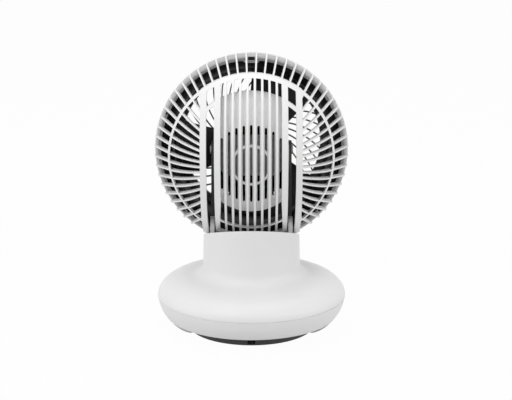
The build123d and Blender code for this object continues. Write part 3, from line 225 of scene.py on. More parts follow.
# %% Materials for the solid pieces
FINISHES = {
    white_abs: ["front_housing", "upper_shell", "lower_shell", "neck_cap", "left_arm_sleeve",
                "right_arm_sleeve"],
    guard_abs: ["rear_grille"],
    lip_shade_grey: ["bell_mouth"],
    cover_white_painted_bright: ["motor_cover"],
    pod_dark_painted_shade: ["motor_housing"],
    key_abs: ["button_1", "button_2", "button_3", "button_4"],
    black_abs: ["air_duct", "impeller", "hub_nut", "supply_jack", "touch_switches"],
    grey_abs: ["front_grille", "front_cap"],
    arm_nylon: ["left_arm", "right_arm"],
    foot_abs: ["foot_plate"],
    acetal: ["pan_wheel", "pan_pinion", "tilt_sector", "tilt_pinion", "glide_ring",
             "left_pivot_bush", "right_pivot_bush"],
    rubber: ["rubber_feet"],
    turned_steel: ["left_pivot_pin", "right_pivot_pin", "fan_rotor", "motor_bearings", "pan_motor",
                   "tilt_motor"],
    cast_steel: ["ballast_ring", "stator_core", "yoke_plate"],
    zinc: ["ballast_screws", "shell_screws", "wheel_screws", "pan_motor_screws", "tilt_motor_screws",
           "yoke_screws"],
    copper: ["stator_coils"],
    board_material: ["driver_board", "control_board"],
    lens_material: ["indicator_lens"],
}


def dress(node, material):
    """Give a solid piece one material."""
    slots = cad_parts[node].material_slots
    for slot in slots:
        slot.link = "OBJECT"
        slot.material = material
    if not slots:
        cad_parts[node].data.materials.append(material)


dressed = set()
for material, nodes in FINISHES.items():
    for node in nodes:
        dress(node, material)
        dressed.add(node)
print("dressed", len(dressed), "still bare", sorted(set(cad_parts) - dressed))

# %% [markdown]
# ## Turned forms
#
# The base is turned about one axis, like a plate on a potter's wheel, so its mesh can be a profile
# copied round that axis, ring by ring. The Spin tool or a Screw modifier would do the same, but a
# few lines of mesh code leave the seam closed and the number of faces in plain sight. A helper
# keeps every finished mesh clean: doubles merged, faces outwards, real edges sharp, the rest smooth.

# %% Helpers for finished pieces
SHARP = radians(32)         # edges that turn more than this stay sharp
MERGED = 0.002              # mm, points nearer than this become one
HEAD_AXIS = Vector((0, 34, 238))    # mm, the head's middle, on its tilt axis
HEAD_PLACE = Matrix.Translation(HEAD_AXIS * MM) @ Matrix.Rotation(pi / 2, 4, "X")


def keep(name, form, material):
    """Make a clean object at the origin from a bmesh that is already in its place."""
    bmesh.ops.remove_doubles(form, verts=form.verts, dist=MERGED * MM)
    bmesh.ops.recalc_face_normals(form, faces=form.faces)
    mesh = bpy.data.meshes.new(name)
    form.to_mesh(mesh)
    form.free()
    mesh.shade_smooth()
    mesh.set_sharp_from_angle(angle=SHARP)
    if not mesh.materials:
        mesh.materials.append(material)
    piece = bpy.data.objects.new(name, mesh)
    bpy.context.scene.collection.objects.link(piece)
    print(name, len(mesh.polygons), "faces")
    return piece


def gather(forms):
    """One bmesh from several."""
    whole = bmesh.new()
    for form in forms:
        mesh = bpy.data.meshes.new("gathered")
        form.to_mesh(mesh)
        form.free()
        whole.from_mesh(mesh)
        bpy.data.meshes.remove(mesh)
    return whole


def turned(profile, steps, middle=(0, 0), face=None):
    """A bmesh from a closed profile of (radius, height) points in mm, turned about middle.

    Where a point has a third value, its height counts from the face under it.
    """
    form = bmesh.new()
    rings = []
    for step in range(steps):
        turn = 2 * pi * step / steps
        points = []
        for radius, height, *follows in profile:
            x, y = middle[0] + radius * cos(turn), middle[1] + radius * sin(turn)
            z = face(x, y) + height if follows else height
            points.append(form.verts.new((x * MM, y * MM, z * MM)))
        rings.append(points)
    count = len(profile)
    for step in range(steps):
        here, there = rings[step], rings[(step + 1) % steps]
        for index in range(count):
            after = (index + 1) % count
            if profile[index][0] or profile[after][0]:      # nothing to close along the axis itself
                form.faces.new((here[index], there[index], there[after], here[after]))
    return form


# %% [markdown]
# ## Upper shell
#
# The top of the base is a pebble: nearly flat round the neck, then an elliptical shoulder down to
# the joint, and the neck rises from it through a small hollow and narrows a little upwards. The
# solid shell is a plain cone there, with the same outline from behind but too high beside the neck,
# so this piece stands for it. Turned from a profile with its wall, it gets the hollow for the head
# and the holes for buttons and light by Boolean, which cuts real openings rather than painted ones.

# %% The shell's profile
DISH_R, DISH_Z = 126.8, 46.2        # widest ring of the base and its height, as the solid has them
TOP_Z = 73.5                        # flat top round the neck
SHOULDER_IN = 83.5                  # where the flat ends and the shoulder begins
FLARE_R = 17.0                      # hollow between the flat and the neck
NECK_FOOT_R, NECK_TOP_R = 65.2, 63.3
NECK_BORE_R = 62.5                  # the neck cap and the yoke plate fit in it
NECK_END = 156.0                    # above the hollow for the head, which cuts it off
SHELL_WALL = 2.5
SHELL_STEPS = 192                   # straight stretches round the shell
GROOVE = 1.0                        # groove along the joint of the two shells
HEAD_ROOM_R = 131.5                 # the head turns in this ball
BUTTON_RING_R, BUTTON_R, BUTTON_GAP = 99.0, 5.6, 0.35
BUTTON_TURNS = (-27, -9, 9, 27)     # degrees from the front
BUTTON_LOW = 62.7                   # lower end of the buttons
LENS_RING_R, LENS_R = 108.0, 2.02
DRILLED = (BUTTON_LOW - 2, TOP_Z + 9)   # the holes are cut from below the shell to above it


def shoulder(inset, steps=40):
    """Points of the elliptical shoulder, from the joint up to the flat."""
    wide, tall = DISH_R - SHOULDER_IN - inset, TOP_Z - DISH_Z - inset
    turns = [pi / 2 * step / steps for step in range(steps + 1)]
    return [(SHOULDER_IN + wide * cos(t), DISH_Z + tall * sin(t)) for t in turns]


def hollow(inset, steps=12):
    """Points of the small hollow between the flat and the neck."""
    radius = FLARE_R + inset
    middle_r, middle_z = NECK_FOOT_R + FLARE_R, TOP_Z + FLARE_R
    turns = [1.5 * pi - pi / 2 * step / steps for step in range(steps + 1)]
    return [(max(middle_r + radius * cos(t), NECK_BORE_R), middle_z + radius * sin(t)) for t in turns]


outer = [(DISH_R - GROOVE, DISH_Z)]
outer += [(r, max(z, DISH_Z + GROOVE)) for r, z in shoulder(0)]
outer += hollow(0) + [(NECK_TOP_R, NECK_END)]
inner = shoulder(SHELL_WALL) + hollow(SHELL_WALL) + [(NECK_BORE_R, NECK_END)]
shell_profile = outer + inner[::-1]
print("profile points", len(shell_profile))


# %% Cut the openings and put the shell in place
def front_spot(ring_r, turn):
    """Point on the front of the dish; turn counts from +Y towards +X."""
    return ring_r * sin(radians(turn)), ring_r * cos(radians(turn))


def cut(name, form, cutters, material):
    """Subtract closed forms from a form with a Boolean, and keep the result."""
    blank = keep(name + "_blank", form, material)
    tool = keep(name + "_tool", gather(cutters), material)
    boolean = blank.modifiers.new("openings", "BOOLEAN")
    boolean.object = tool
    boolean.solver = "EXACT"
    state = bpy.context.evaluated_depsgraph_get()
    result = bmesh.new()
    result.from_mesh(bpy.data.meshes.new_from_object(blank.evaluated_get(state)))
    bpy.data.objects.remove(blank)
    bpy.data.objects.remove(tool)
    return keep(name, result, material)


def ball(middle, radius):
    """The room that a turning head needs, as a cutter."""
    form = bmesh.new()
    bmesh.ops.create_uvsphere(form, u_segments=160, v_segments=96, radius=radius * MM)
    bmesh.ops.translate(form, verts=form.verts, vec=middle * MM)
    return form


def drill(spot, radius, low, high, steps=40):
    """A round cutter from low to high."""
    form = bmesh.new()
    bmesh.ops.create_cone(form, cap_ends=True, segments=steps, radius1=radius * MM,
                          radius2=radius * MM, depth=(high - low) * MM)
    bmesh.ops.translate(form, verts=form.verts, vec=Vector((*spot, (low + high) / 2)) * MM)
    return form


openings = [ball(HEAD_AXIS, HEAD_ROOM_R)]
for turn in BUTTON_TURNS:
    openings.append(drill(front_spot(BUTTON_RING_R, turn), BUTTON_R + BUTTON_GAP, *DRILLED))
openings.append(drill(front_spot(LENS_RING_R, 0), LENS_R, *DRILLED, steps=24))
base_top = cut("base_top", turned(shell_profile, SHELL_STEPS), openings, white_abs)
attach(base_top, "turntable")
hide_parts("upper_shell")


# %% [markdown]
# ## Buttons
#
# Each button is a short plunger with a flange that keeps it in the shell, and its top carries on the
# shell's curve a little higher, with a rounded edge. The solid buttons follow the plain cone, so
# turned pieces stand for them: their upper points take their height from the shoulder's formula.

# %% Button pieces
BUTTON_PROUD = 0.9
BUTTON_FLANGE_R, BUTTON_FLANGE_T = 7.4, 1.2
BUTTON_EDGE = ((0, 0.7), (0.2, 0.25), (0.6, 0))     # rounding: in from the side, down from the top


def shell_height(x, y):
    """Height of the shell's face over a point of the dish."""
    beyond = max(sqrt(x * x + y * y) - SHOULDER_IN, 0) / (DISH_R - SHOULDER_IN)
    return DISH_Z + (TOP_Z - DISH_Z) * sqrt(1 - beyond**2)


def button(turn):
    """A button whose flange is level and whose top follows the shell."""
    flange_top = BUTTON_LOW + BUTTON_FLANGE_T
    profile = [(0, BUTTON_LOW), (BUTTON_FLANGE_R, BUTTON_LOW), (BUTTON_FLANGE_R, flange_top)]
    profile.append((BUTTON_R, flange_top))
    profile += [(BUTTON_R - inwards, BUTTON_PROUD - down, True) for inwards, down in BUTTON_EDGE]
    profile += [(BUTTON_R / 2, BUTTON_PROUD, True), (0, BUTTON_PROUD, True)]
    return turned(profile, 40, front_spot(BUTTON_RING_R, turn), shell_height)


for number, turn in enumerate(BUTTON_TURNS, 1):
    key = keep(f"key_{number}", button(turn), key_abs)
    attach(key, f"button_{number}")
    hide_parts(f"button_{number}")

# %% [markdown]
# ## Small parts of the head
#
# Four plugs close the screw holes of the motor cover, flush with its round face, so they are turned
# like the buttons. A tab with sloping sides closes the window of the top clip towards the mouth, and
# behind the vents lies a grey shield, which is what one sees of the motor from behind. Both are flat,
# so they are drawn as an outline and given a thickness. The directions are the head's own: x right,
# y up, z to the back.

# %% Plugs, clip tab and shield
COVER_R = 107.0                     # round face of the motor cover
PLUG_SPOTS = [(x, y) for x in (-30, 30) for y in (-38, 47)]
PLUG_R, PLUG_DEPTH, PLUG_SUNK = 1.68, 2.2, 0.05
TAB_Z = (6.5, 10.0)
TAB_Y, TAB_HALF, TAB_SLOPE = 117.6, 8.3, 3.0    # lower edge, its half width and the sides' slope
TAB_TOP_X = (9, 6, 4, 2, 0, -2, -4, -6, -9)     # here its upper edge follows the mouth
MOUTH_R = 121.2
TAB_SOFT, SHIELD_SOFT = 0.5, 0.4    # rounding of their edges
SHIELD_HALF = (41.6, 27.0)
SHIELD_UP = 6.4                     # its middle lies above the head's
SHIELD_Z = (71.0, 72.2)
SHIELD_ROUND = 15.0                 # its corners, seen from behind


def slab(outline, low, high, soft):
    """An outline in mm, given a thickness along z, its rear edges rounded, set in the head's place."""
    form = bmesh.new()
    floor = form.faces.new([form.verts.new((x * MM, y * MM, low * MM)) for x, y in outline])
    lifted = bmesh.ops.extrude_face_region(form, geom=[floor])["geom"]
    top = [item for item in lifted if isinstance(item, bmesh.types.BMVert)]
    bmesh.ops.translate(form, verts=top, vec=(0, 0, (high - low) * MM))
    rim = [edge for edge in form.edges if all(v in top for v in edge.verts)]
    bmesh.ops.bevel(form, geom=rim, offset=soft * MM, segments=3, affect="EDGES", profile=0.5)
    bmesh.ops.transform(form, matrix=HEAD_PLACE, verts=form.verts)
    return form


def round_corner(middle, radius, start, steps=8):
    """A quarter circle that starts at that angle."""
    turns = [radians(start + 90 * step / steps) for step in range(steps + 1)]
    return [(middle[0] + radius * cos(t), middle[1] + radius * sin(t)) for t in turns]


def cover_face(x, y):
    """Height of the motor cover's face over a point."""
    return sqrt(COVER_R**2 - x * x - y * y)


def plug(x, y):
    """A plug whose inner end is level and whose face follows the cover's."""
    rim = [cover_face(x + dx, y + dy) for dx, dy in round_corner((0, 0), PLUG_R, 0)]
    inner_end = sum(rim) / len(rim) - PLUG_DEPTH
    profile = [(0, inner_end), (PLUG_R, inner_end), (PLUG_R, -PLUG_SUNK, True), (0, -PLUG_SUNK, True)]
    form = turned(profile, 28, (x, y), cover_face)
    bmesh.ops.transform(form, matrix=HEAD_PLACE, verts=form.verts)
    return form


# the plugs take the cover's white, which is painted brighter against the ribs' shade
cover_plugs = keep("cover_plugs", gather([plug(x, y) for x, y in PLUG_SPOTS]), cover_white_painted_bright)

tab_outline = [(-TAB_HALF - TAB_SLOPE, TAB_Y + TAB_SLOPE), (-TAB_HALF, TAB_Y), (TAB_HALF, TAB_Y)]
tab_outline += [(TAB_HALF + TAB_SLOPE, TAB_Y + TAB_SLOPE)]
tab_outline += [(x, sqrt(MOUTH_R**2 - x * x)) for x in TAB_TOP_X]
# the clip tab takes the lip's grey, which is painted shade
clip_tab = keep("clip_tab", slab(tab_outline, *TAB_Z, TAB_SOFT), lip_shade_grey)

shield_x, shield_y = SHIELD_HALF[0] - SHIELD_ROUND, SHIELD_HALF[1] - SHIELD_ROUND
shield_outline = []
for start, sx, sy in ((0, 1, 1), (90, -1, 1), (180, -1, -1), (270, 1, -1)):
    shield_outline += round_corner((sx * shield_x, sy * shield_y + SHIELD_UP), SHIELD_ROUND, start)
vent_shield = keep("vent_shield", slab(shield_outline, *SHIELD_Z, SHIELD_SOFT), shield_abs)

small_parts = {cover_plugs: "white_plastic", clip_tab: "pale_plastic", vent_shield: "grey_plastic"}
for piece, finish in small_parts.items():
    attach(piece, "head")

# %% [markdown]
# ## Recipes in Geometry Nodes
#
# Ribs and screws repeat: one shape, copied by a rule. A Geometry Nodes tree holds such a shape as a
# recipe with named sizes, so one number changes every copy. It could be drawn once and copied by
# hand, but then a change of size would mean drawing it again. A tree is run on a carrier object,
# and its result is kept as a plain mesh.

# %% Helpers that begin, end and run a tree
def begin_recipe(name, sizes):
    """A Geometry Nodes tree with named inputs; gives the tree and its input sockets."""
    tree = bpy.data.node_groups.new(name, "GeometryNodeTree")
    tree.interface.new_socket("Geometry", in_out="INPUT", socket_type="NodeSocketGeometry")
    for label, kind in sizes.items():
        tree.interface.new_socket(label, in_out="INPUT", socket_type="NodeSocket" + kind)
    tree.interface.new_socket("Geometry", in_out="OUTPUT", socket_type="NodeSocketGeometry")
    return tree, add(tree, "NodeGroupInput").outputs


def end_recipe(tree, shapes, material):
    """Join the shapes, make the copies real and give them the material."""
    joined = add(tree, "GeometryNodeJoinGeometry")
    for shape in shapes:
        tree.links.new(shape, joined.inputs["Geometry"])
    real = add(tree, "GeometryNodeRealizeInstances", {"Geometry": joined.outputs["Geometry"]})
    dressed_shape = add(tree, "GeometryNodeSetMaterial", {
        "Geometry": real.outputs["Geometry"], "Material": material,
    })
    add(tree, "NodeGroupOutput", {"Geometry": dressed_shape.outputs["Geometry"]})


def run_recipe(tree, name, values, place=None, points=()):
    """Run a tree with these values, on loose points if it needs them, and keep a plain mesh."""
    start = bpy.data.meshes.new(name + "_points")
    start.from_pydata([Vector(point) * MM for point in points], [], [])
    carrier = bpy.data.objects.new(name + "_carrier", start)
    bpy.context.scene.collection.objects.link(carrier)
    modifier = carrier.modifiers.new("recipe", "NODES")
    modifier.node_group = tree
    for item in tree.interface.items_tree:
        if item.in_out == "INPUT" and item.name in values:
            modifier[item.identifier] = values[item.name]
    state = bpy.context.evaluated_depsgraph_get()
    result = bpy.data.meshes.new_from_object(carrier.evaluated_get(state))
    carrier.modifiers.remove(modifier)
    bpy.data.objects.remove(carrier)
    form = bmesh.new()
    form.from_mesh(result)
    bmesh.ops.transform(form, matrix=place or Matrix.Identity(4), verts=form.verts)
    return keep(name, form, values["Material"])


# %% [markdown]
# ## Front guard
#
# The front guard is one dark moulding: a wide ring, a small ring round the middle disc, and ribs
# that sweep from one to the other like a swirl. Every rib is the same part of a circle whose centre
# stands beside the fan's axis, bent onto the crowned front and turned in equal steps. Its section
# has rounded corners, as a rib has that draws well out of its mould.

# %% The recipe of the swirl
guard_tree, given = begin_recipe("swirl_guard_recipe", {
    "Ribs": "Int", "Rib width": "Float", "Depth": "Float", "Corner": "Float", "First turn": "Float",
    "Arc radius": "Float", "Arc centre": "Float", "Arc start": "Float", "Arc sweep": "Float",
    "Crown radius": "Float", "Crown peak": "Float",
    "Hub ring": "Vector", "Outer ring": "Vector", "Seat ring": "Vector", "Material": "Material",
})


def section(width, depth, slope=0.0):
    """A rounded rectangle across a rib or ring, tipped by slope."""
    box = add(guard_tree, "GeometryNodeCurvePrimitiveQuadrilateral", {"Width": width, "Height": depth})
    soft = add(guard_tree, "GeometryNodeFilletCurve", {
        "Curve": box.outputs["Curve"], "Count": 2, "Radius": given["Corner"],
    }, mode="POLY")
    tipped = add(guard_tree, "GeometryNodeTransform", {
        "Geometry": soft.outputs["Curve"], "Rotation": (0, 0, slope),
    })
    return tipped.outputs["Geometry"]


def swept(path, across):
    """A section carried along a path, its depth kept along the fan's axis."""
    level = add(guard_tree, "GeometryNodeSetCurveNormal", {"Curve": path}, mode="Z_UP")
    body = add(guard_tree, "GeometryNodeCurveToMesh", {
        "Curve": level.outputs["Curve"], "Profile Curve": across, "Fill Caps": True,
    })
    return body.outputs["Mesh"]


# one rib: an arc beside the axis, raised to the crown by Pythagoras
arc = add(guard_tree, "GeometryNodeCurveArc", {
    "Resolution": 26, "Radius": given["Arc radius"], "Start Angle": given["Arc start"],
    "Sweep Angle": given["Arc sweep"],
}, mode="RADIUS")
aside_vector = add(guard_tree, "ShaderNodeCombineXYZ", {"X": given["Arc centre"]})
beside = add(guard_tree, "GeometryNodeTransform", {
    "Geometry": arc.outputs["Curve"], "Translation": aside_vector.outputs["Vector"],
})
here = add(guard_tree, "GeometryNodeInputPosition").outputs["Position"]
reach = add(guard_tree, "ShaderNodeVectorMath", {0: here}, operation="LENGTH").outputs["Value"]
crown_r = given["Crown radius"]
reach_squared = add(guard_tree, "ShaderNodeMath", {0: reach, 1: 2.0}, operation="POWER").outputs[0]
ball_squared = add(guard_tree, "ShaderNodeMath", {0: crown_r, 1: 2.0}, operation="POWER").outputs[0]
left_over = add(guard_tree, "ShaderNodeMath", {
    0: ball_squared, 1: reach_squared,
}, operation="SUBTRACT").outputs[0]
height = add(guard_tree, "ShaderNodeMath", {0: left_over}, operation="SQRT").outputs[0]
drop = add(guard_tree, "ShaderNodeMath", {0: crown_r, 1: height}, operation="SUBTRACT").outputs[0]
middle = add(guard_tree, "ShaderNodeMath", {0: given["Crown peak"], 1: drop}, operation="ADD").outputs[0]
rise = add(guard_tree, "ShaderNodeCombineXYZ", {"Z": middle}).outputs["Vector"]
crowned = add(guard_tree, "GeometryNodeSetPosition", {
    "Geometry": beside.outputs["Geometry"], "Offset": rise,
})
rib = swept(crowned.outputs["Geometry"], section(given["Rib width"], given["Depth"]))

# its copies: as many points on one spot as there are ribs, each turned a step further
stations = add(guard_tree, "GeometryNodeMeshLine", {
    "Count": given["Ribs"], "Offset": (0, 0, 0),
}, mode="OFFSET")
index = add(guard_tree, "GeometryNodeInputIndex").outputs["Index"]
step = add(guard_tree, "ShaderNodeMath", {0: 2 * pi, 1: given["Ribs"]}, operation="DIVIDE").outputs[0]
turn = add(guard_tree, "ShaderNodeMath", {
    0: index, 1: step, 2: given["First turn"],
}, operation="MULTIPLY_ADD")
facing = add(guard_tree, "ShaderNodeCombineXYZ", {"Z": turn.outputs[0]}).outputs["Vector"]
ribs = add(guard_tree, "GeometryNodeInstanceOnPoints", {
    "Points": stations.outputs["Mesh"], "Instance": rib, "Rotation": facing,
})
print("ribs drawn")

# %% Rings of the guard, and the guard itself
FRONT_Z, WALL = -64.0, 2.5          # front edge and wall of the front housing
CROWN_R, GUARD_DEPTH = 420.0, 5.0
RIB_COUNT, RIB_W, RIB_CORNER = 36, 1.7, 0.55
RIB_FIRST_TURN = 3.6                # degrees
ARC_R, ARC_CENTRE = 105.0, 88.2
GUARD_OUT, GUARD_IN, HUB_OUT, HUB_IN = 103.7, 95.7, 34.0, 30.0
SEAT_OUT, SEAT_IN, SEAT_T = 106.7, 99.7, 2.0
RIB_FROM, RIB_TO = 32.5, 97.5       # the ribs reach this far into both rings
HUB_R, RING_R, SEAT_R = (HUB_IN + HUB_OUT) / 2, (GUARD_IN + GUARD_OUT) / 2, (SEAT_IN + SEAT_OUT) / 2

rings = []
for label, slope in (("Hub ring", HUB_R / CROWN_R), ("Outer ring", RING_R / CROWN_R), ("Seat ring", 0.0)):
    sizes = add(guard_tree, "ShaderNodeSeparateXYZ", {"Vector": given[label]}).outputs
    circle = add(guard_tree, "GeometryNodeCurvePrimitiveCircle", {"Resolution": 144, "Radius": sizes["X"]})
    level = add(guard_tree, "ShaderNodeCombineXYZ", {"Z": sizes["Z"]}).outputs["Vector"]
    raised = add(guard_tree, "GeometryNodeTransform", {
        "Geometry": circle.outputs["Curve"], "Translation": level,
    })
    depth = SEAT_T * MM if label == "Seat ring" else given["Depth"]
    rings.append(swept(raised.outputs["Geometry"], section(sizes["Y"], depth, slope)))
end_recipe(guard_tree, [ribs.outputs["Instances"], *rings], given["Material"])


def crown_z(radius):
    """Height of the guard's front face, in the head's directions."""
    rim = CROWN_R - sqrt(CROWN_R**2 - GUARD_OUT**2)
    return FRONT_Z - rim + CROWN_R - sqrt(CROWN_R**2 - radius**2)


def arc_turn(radius):
    """Angle, seen from the arc's own centre, at which a rib is that far from the fan's axis."""
    across = (radius**2 + ARC_CENTRE**2 - ARC_R**2) / (2 * radius * ARC_CENTRE)
    phi = acos(across)
    return atan2(radius * sin(phi), radius * cos(phi) - ARC_CENTRE)


# a ring's three values are its middle radius, its width and the height of its middle
swirl_guard = run_recipe(guard_tree, "swirl_guard", {
    "Ribs": RIB_COUNT, "Rib width": RIB_W * MM, "Depth": GUARD_DEPTH * MM, "Corner": RIB_CORNER * MM,
    "First turn": radians(RIB_FIRST_TURN), "Arc radius": ARC_R * MM, "Arc centre": ARC_CENTRE * MM,
    "Arc start": arc_turn(RIB_FROM), "Arc sweep": arc_turn(RIB_TO) - arc_turn(RIB_FROM),
    "Crown radius": CROWN_R * MM, "Crown peak": (crown_z(0) + GUARD_DEPTH / 2) * MM,
    "Hub ring": (HUB_R * MM, (HUB_OUT - HUB_IN) * MM, (crown_z(HUB_R) + GUARD_DEPTH / 2) * MM),
    "Outer ring": (RING_R * MM, (GUARD_OUT - GUARD_IN) * MM, (crown_z(RING_R) + GUARD_DEPTH / 2) * MM),
    "Seat ring": (SEAT_R * MM, (SEAT_OUT - SEAT_IN) * MM, (FRONT_Z + WALL + SEAT_T / 2) * MM),
    "Material": grey_abs,
}, HEAD_PLACE)
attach(swirl_guard, "head")
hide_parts("front_grille")

# %% [markdown]
# ## Screws
#
# The assembly is held by pan-head screws with a cross recess and a cut thread, all of one size but
# for their length. One recipe makes the screw: a head whose sides draw in upwards, two crossed bars
# cut out of it by Boolean, a core, and a thread that is a three-sided wire wound on the core. It is
# set on every point that it is given, so each bolt circle is one run of the recipe.

# %% The recipe of a screw
DRAWN_IN, DRAWN_LATE = 0.35, 4.0    # the head narrows by this share, nearly all of it at its top
RECESS_LONG, RECESS_WIDE, RECESS_DEPTH = 3.4, 0.7, 1.1
THREAD_WIRE = 0.2                   # radius of the thread's wire

screw_tree, given = begin_recipe("screw_recipe", {
    "Head radius": "Float", "Head height": "Float", "Core radius": "Float", "Length": "Float",
    "Pitch": "Float", "Turned": "Vector", "Material": "Material",
})
head_height, length = given["Head height"], given["Length"]

# drawn head down: the seat is at height 0, with the head below it and the core above
half_height = add(screw_tree, "ShaderNodeMath", {0: head_height, 1: -0.5}, operation="MULTIPLY").outputs[0]
head_middle = add(screw_tree, "ShaderNodeCombineXYZ", {"Z": half_height}).outputs["Vector"]
drum = add(screw_tree, "GeometryNodeMeshCylinder", {
    "Vertices": 28, "Side Segments": 6, "Radius": given["Head radius"], "Depth": head_height,
})
seated = add(screw_tree, "GeometryNodeTransform", {
    "Geometry": drum.outputs["Mesh"], "Translation": head_middle,
})
here = add(screw_tree, "GeometryNodeInputPosition").outputs["Position"]
up = add(screw_tree, "ShaderNodeSeparateXYZ", {"Vector": here}).outputs["Z"]
share = add(screw_tree, "ShaderNodeMath", {0: up, 1: head_height}, operation="DIVIDE").outputs[0]
curve = add(screw_tree, "ShaderNodeMath", {0: share, 1: DRAWN_LATE}, operation="POWER").outputs[0]
narrow = add(screw_tree, "ShaderNodeMath", {
    0: curve, 1: -DRAWN_IN, 2: 1.0,
}, operation="MULTIPLY_ADD").outputs[0]
factors = add(screw_tree, "ShaderNodeCombineXYZ", {"X": narrow, "Y": narrow, "Z": 1.0}).outputs["Vector"]
domed_place = add(screw_tree, "ShaderNodeVectorMath", {0: here, 1: factors}, operation="MULTIPLY")
domed = add(screw_tree, "GeometryNodeSetPosition", {
    "Geometry": seated.outputs["Geometry"], "Position": domed_place.outputs["Vector"],
})

# the recess: two bars, half of their height in the head
top_place = add(screw_tree, "ShaderNodeVectorMath", {0: head_middle, "Scale": 2.0}, operation="SCALE")
crossed = add(screw_tree, "GeometryNodeMeshBoolean", {
    "Mesh 1": domed.outputs["Geometry"],
}, operation="DIFFERENCE", solver="EXACT")
for wide, deep in ((RECESS_LONG, RECESS_WIDE), (RECESS_WIDE, RECESS_LONG)):
    bar = add(screw_tree, "GeometryNodeMeshCube", {"Size": (wide * MM, deep * MM, 2 * RECESS_DEPTH * MM)})
    moved = add(screw_tree, "GeometryNodeTransform", {
        "Geometry": bar.outputs["Mesh"], "Translation": top_place.outputs["Vector"],
    })
    screw_tree.links.new(moved.outputs["Geometry"], crossed.inputs["Mesh 2"])

# the core and its thread
half_length = add(screw_tree, "ShaderNodeMath", {0: length, 1: 0.5}, operation="MULTIPLY").outputs[0]
core_middle = add(screw_tree, "ShaderNodeCombineXYZ", {"Z": half_length}).outputs["Vector"]
core = add(screw_tree, "GeometryNodeMeshCylinder", {
    "Vertices": 18, "Radius": given["Core radius"], "Depth": length,
})
shank = add(screw_tree, "GeometryNodeTransform", {
    "Geometry": core.outputs["Mesh"], "Translation": core_middle,
})
turns = add(screw_tree, "ShaderNodeMath", {0: length, 1: given["Pitch"]}, operation="DIVIDE").outputs[0]
helix = add(screw_tree, "GeometryNodeCurveSpiral", {
    "Resolution": 14, "Rotations": turns, "Start Radius": given["Core radius"],
    "End Radius": given["Core radius"], "Height": length,
})
wire = add(screw_tree, "GeometryNodeCurvePrimitiveCircle", {"Resolution": 3, "Radius": THREAD_WIRE * MM})
thread = add(screw_tree, "GeometryNodeCurveToMesh", {
    "Curve": helix.outputs["Curve"], "Profile Curve": wire.outputs["Curve"], "Fill Caps": True,
})
screw = add(screw_tree, "GeometryNodeJoinGeometry")
for shape in (crossed.outputs["Mesh"], shank.outputs["Geometry"], thread.outputs["Mesh"]):
    screw_tree.links.new(shape, screw.inputs["Geometry"])
copies = add(screw_tree, "GeometryNodeInstanceOnPoints", {
    "Points": given["Geometry"], "Instance": screw.outputs["Geometry"], "Rotation": given["Turned"],
})
end_recipe(screw_tree, [copies.outputs["Instances"]], given["Material"])

# %% Set the screws where the solid ones are
HEAD_R, HEAD_H, CORE_R, PITCH = 3.0, 2.0, 1.12, 0.9
HEAD_DOWN, HEAD_UP, HEAD_LEFT = (0, 0, 0), (pi, 0, 0), (0, pi / 2, 0)
BALLAST_RING_R, WHEEL_RING_R, SHELL_RING_R, YOKE_RING_R = 46, 17, 74, 54
EAR_HALF = 17.5                     # half the distance between the two ears of a small motor
PAN_EAR_Y = 37.5


def on_circle(radius, turns):
    """Points at these degrees of a circle about the upright axis."""
    return [(radius * cos(radians(turn)), radius * sin(radians(turn))) for turn in turns]


def place_screws(node, body, points, length, turned_by):
    """Screws for a solid node, seated on these points."""
    made = run_recipe(screw_tree, node.replace("screws", "fasteners"), {
        "Head radius": HEAD_R * MM, "Head height": HEAD_H * MM, "Core radius": CORE_R * MM,
        "Length": length * MM, "Pitch": PITCH * MM, "Turned": turned_by, "Material": zinc,
    }, points=points)
    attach(made, body)
    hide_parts(node)


def screw_set(node, body, spots, turned_by):
    """Upright screws: seat and length come from the box of the solid ones."""
    low, high = [corner[2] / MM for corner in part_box(node)]
    seat = low + HEAD_H if turned_by == HEAD_DOWN else high - HEAD_H
    place_screws(node, body, [(x, y, seat) for x, y in spots], high - low - HEAD_H, turned_by)


screw_set("ballast_screws", "base", on_circle(BALLAST_RING_R, (90, 210, 330)), HEAD_DOWN)
screw_set("wheel_screws", "base", on_circle(WHEEL_RING_R, (30, 150, 270)), HEAD_UP)
screw_set("shell_screws", "turntable", on_circle(SHELL_RING_R, (35, 145, 215, 325)), HEAD_DOWN)
screw_set("yoke_screws", "turntable", on_circle(YOKE_RING_R, (60, 120, 240, 300)), HEAD_UP)
screw_set("pan_motor_screws", "turntable", [(x, PAN_EAR_Y) for x in (-EAR_HALF, EAR_HALF)], HEAD_UP)

# the tilt motor's screws lie along x, with their heads to the left
side_low, side_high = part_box("tilt_motor_screws")
side_x, side_length = side_low[0] / MM + HEAD_H, (side_high[0] - side_low[0]) / MM - HEAD_H
side_y = (side_low[1] + side_high[1]) / 2 / MM
side_points = [(side_x, side_y, HEAD_AXIS.z + z) for z in (-EAR_HALF, EAR_HALF)]
place_screws("tilt_motor_screws", "head", side_points, side_length, HEAD_LEFT)

# %% [markdown]
# ## Studio
#
# The photograph is a plain catalogue picture: a white ground, even light from all sides, and a little
# more from above and from the camera's left, so that the underside of the base turns grey. Most of
# the light is the even white of the surroundings. Five square lamps add to it: a key from the
# camera's left and a weaker fill from its right, the strongest one above, and two low ones that
# brighten the sides of the base. The floor shows white to the camera, and to reflections, whatever
# light falls on it, but it keeps a share of its own shading, so the object still stands in a soft
# shadow.

# %% Floor, world and lamps
FLOOR_SIZE = 24.0
FLOOR_SHOWN = 0.97      # share of plain white in what the camera sees of the floor
PAPER = "#D4D4D4"
WORLD_LEVEL = 0.56
WHITE = (1, 1, 1, 1)


def shown_white(tree):
    """1 for rays that should meet the plain white ground: camera, mirror and glass rays."""
    path = add(tree, "ShaderNodeLightPath").outputs
    either = add(tree, "ShaderNodeMath", {
        0: path["Is Camera Ray"], 1: path["Is Glossy Ray"],
    }, operation="MAXIMUM")
    more = add(tree, "ShaderNodeMath", {
        0: either.outputs[0], 1: path["Is Transmission Ray"],
    }, operation="MAXIMUM")
    return more.outputs[0]


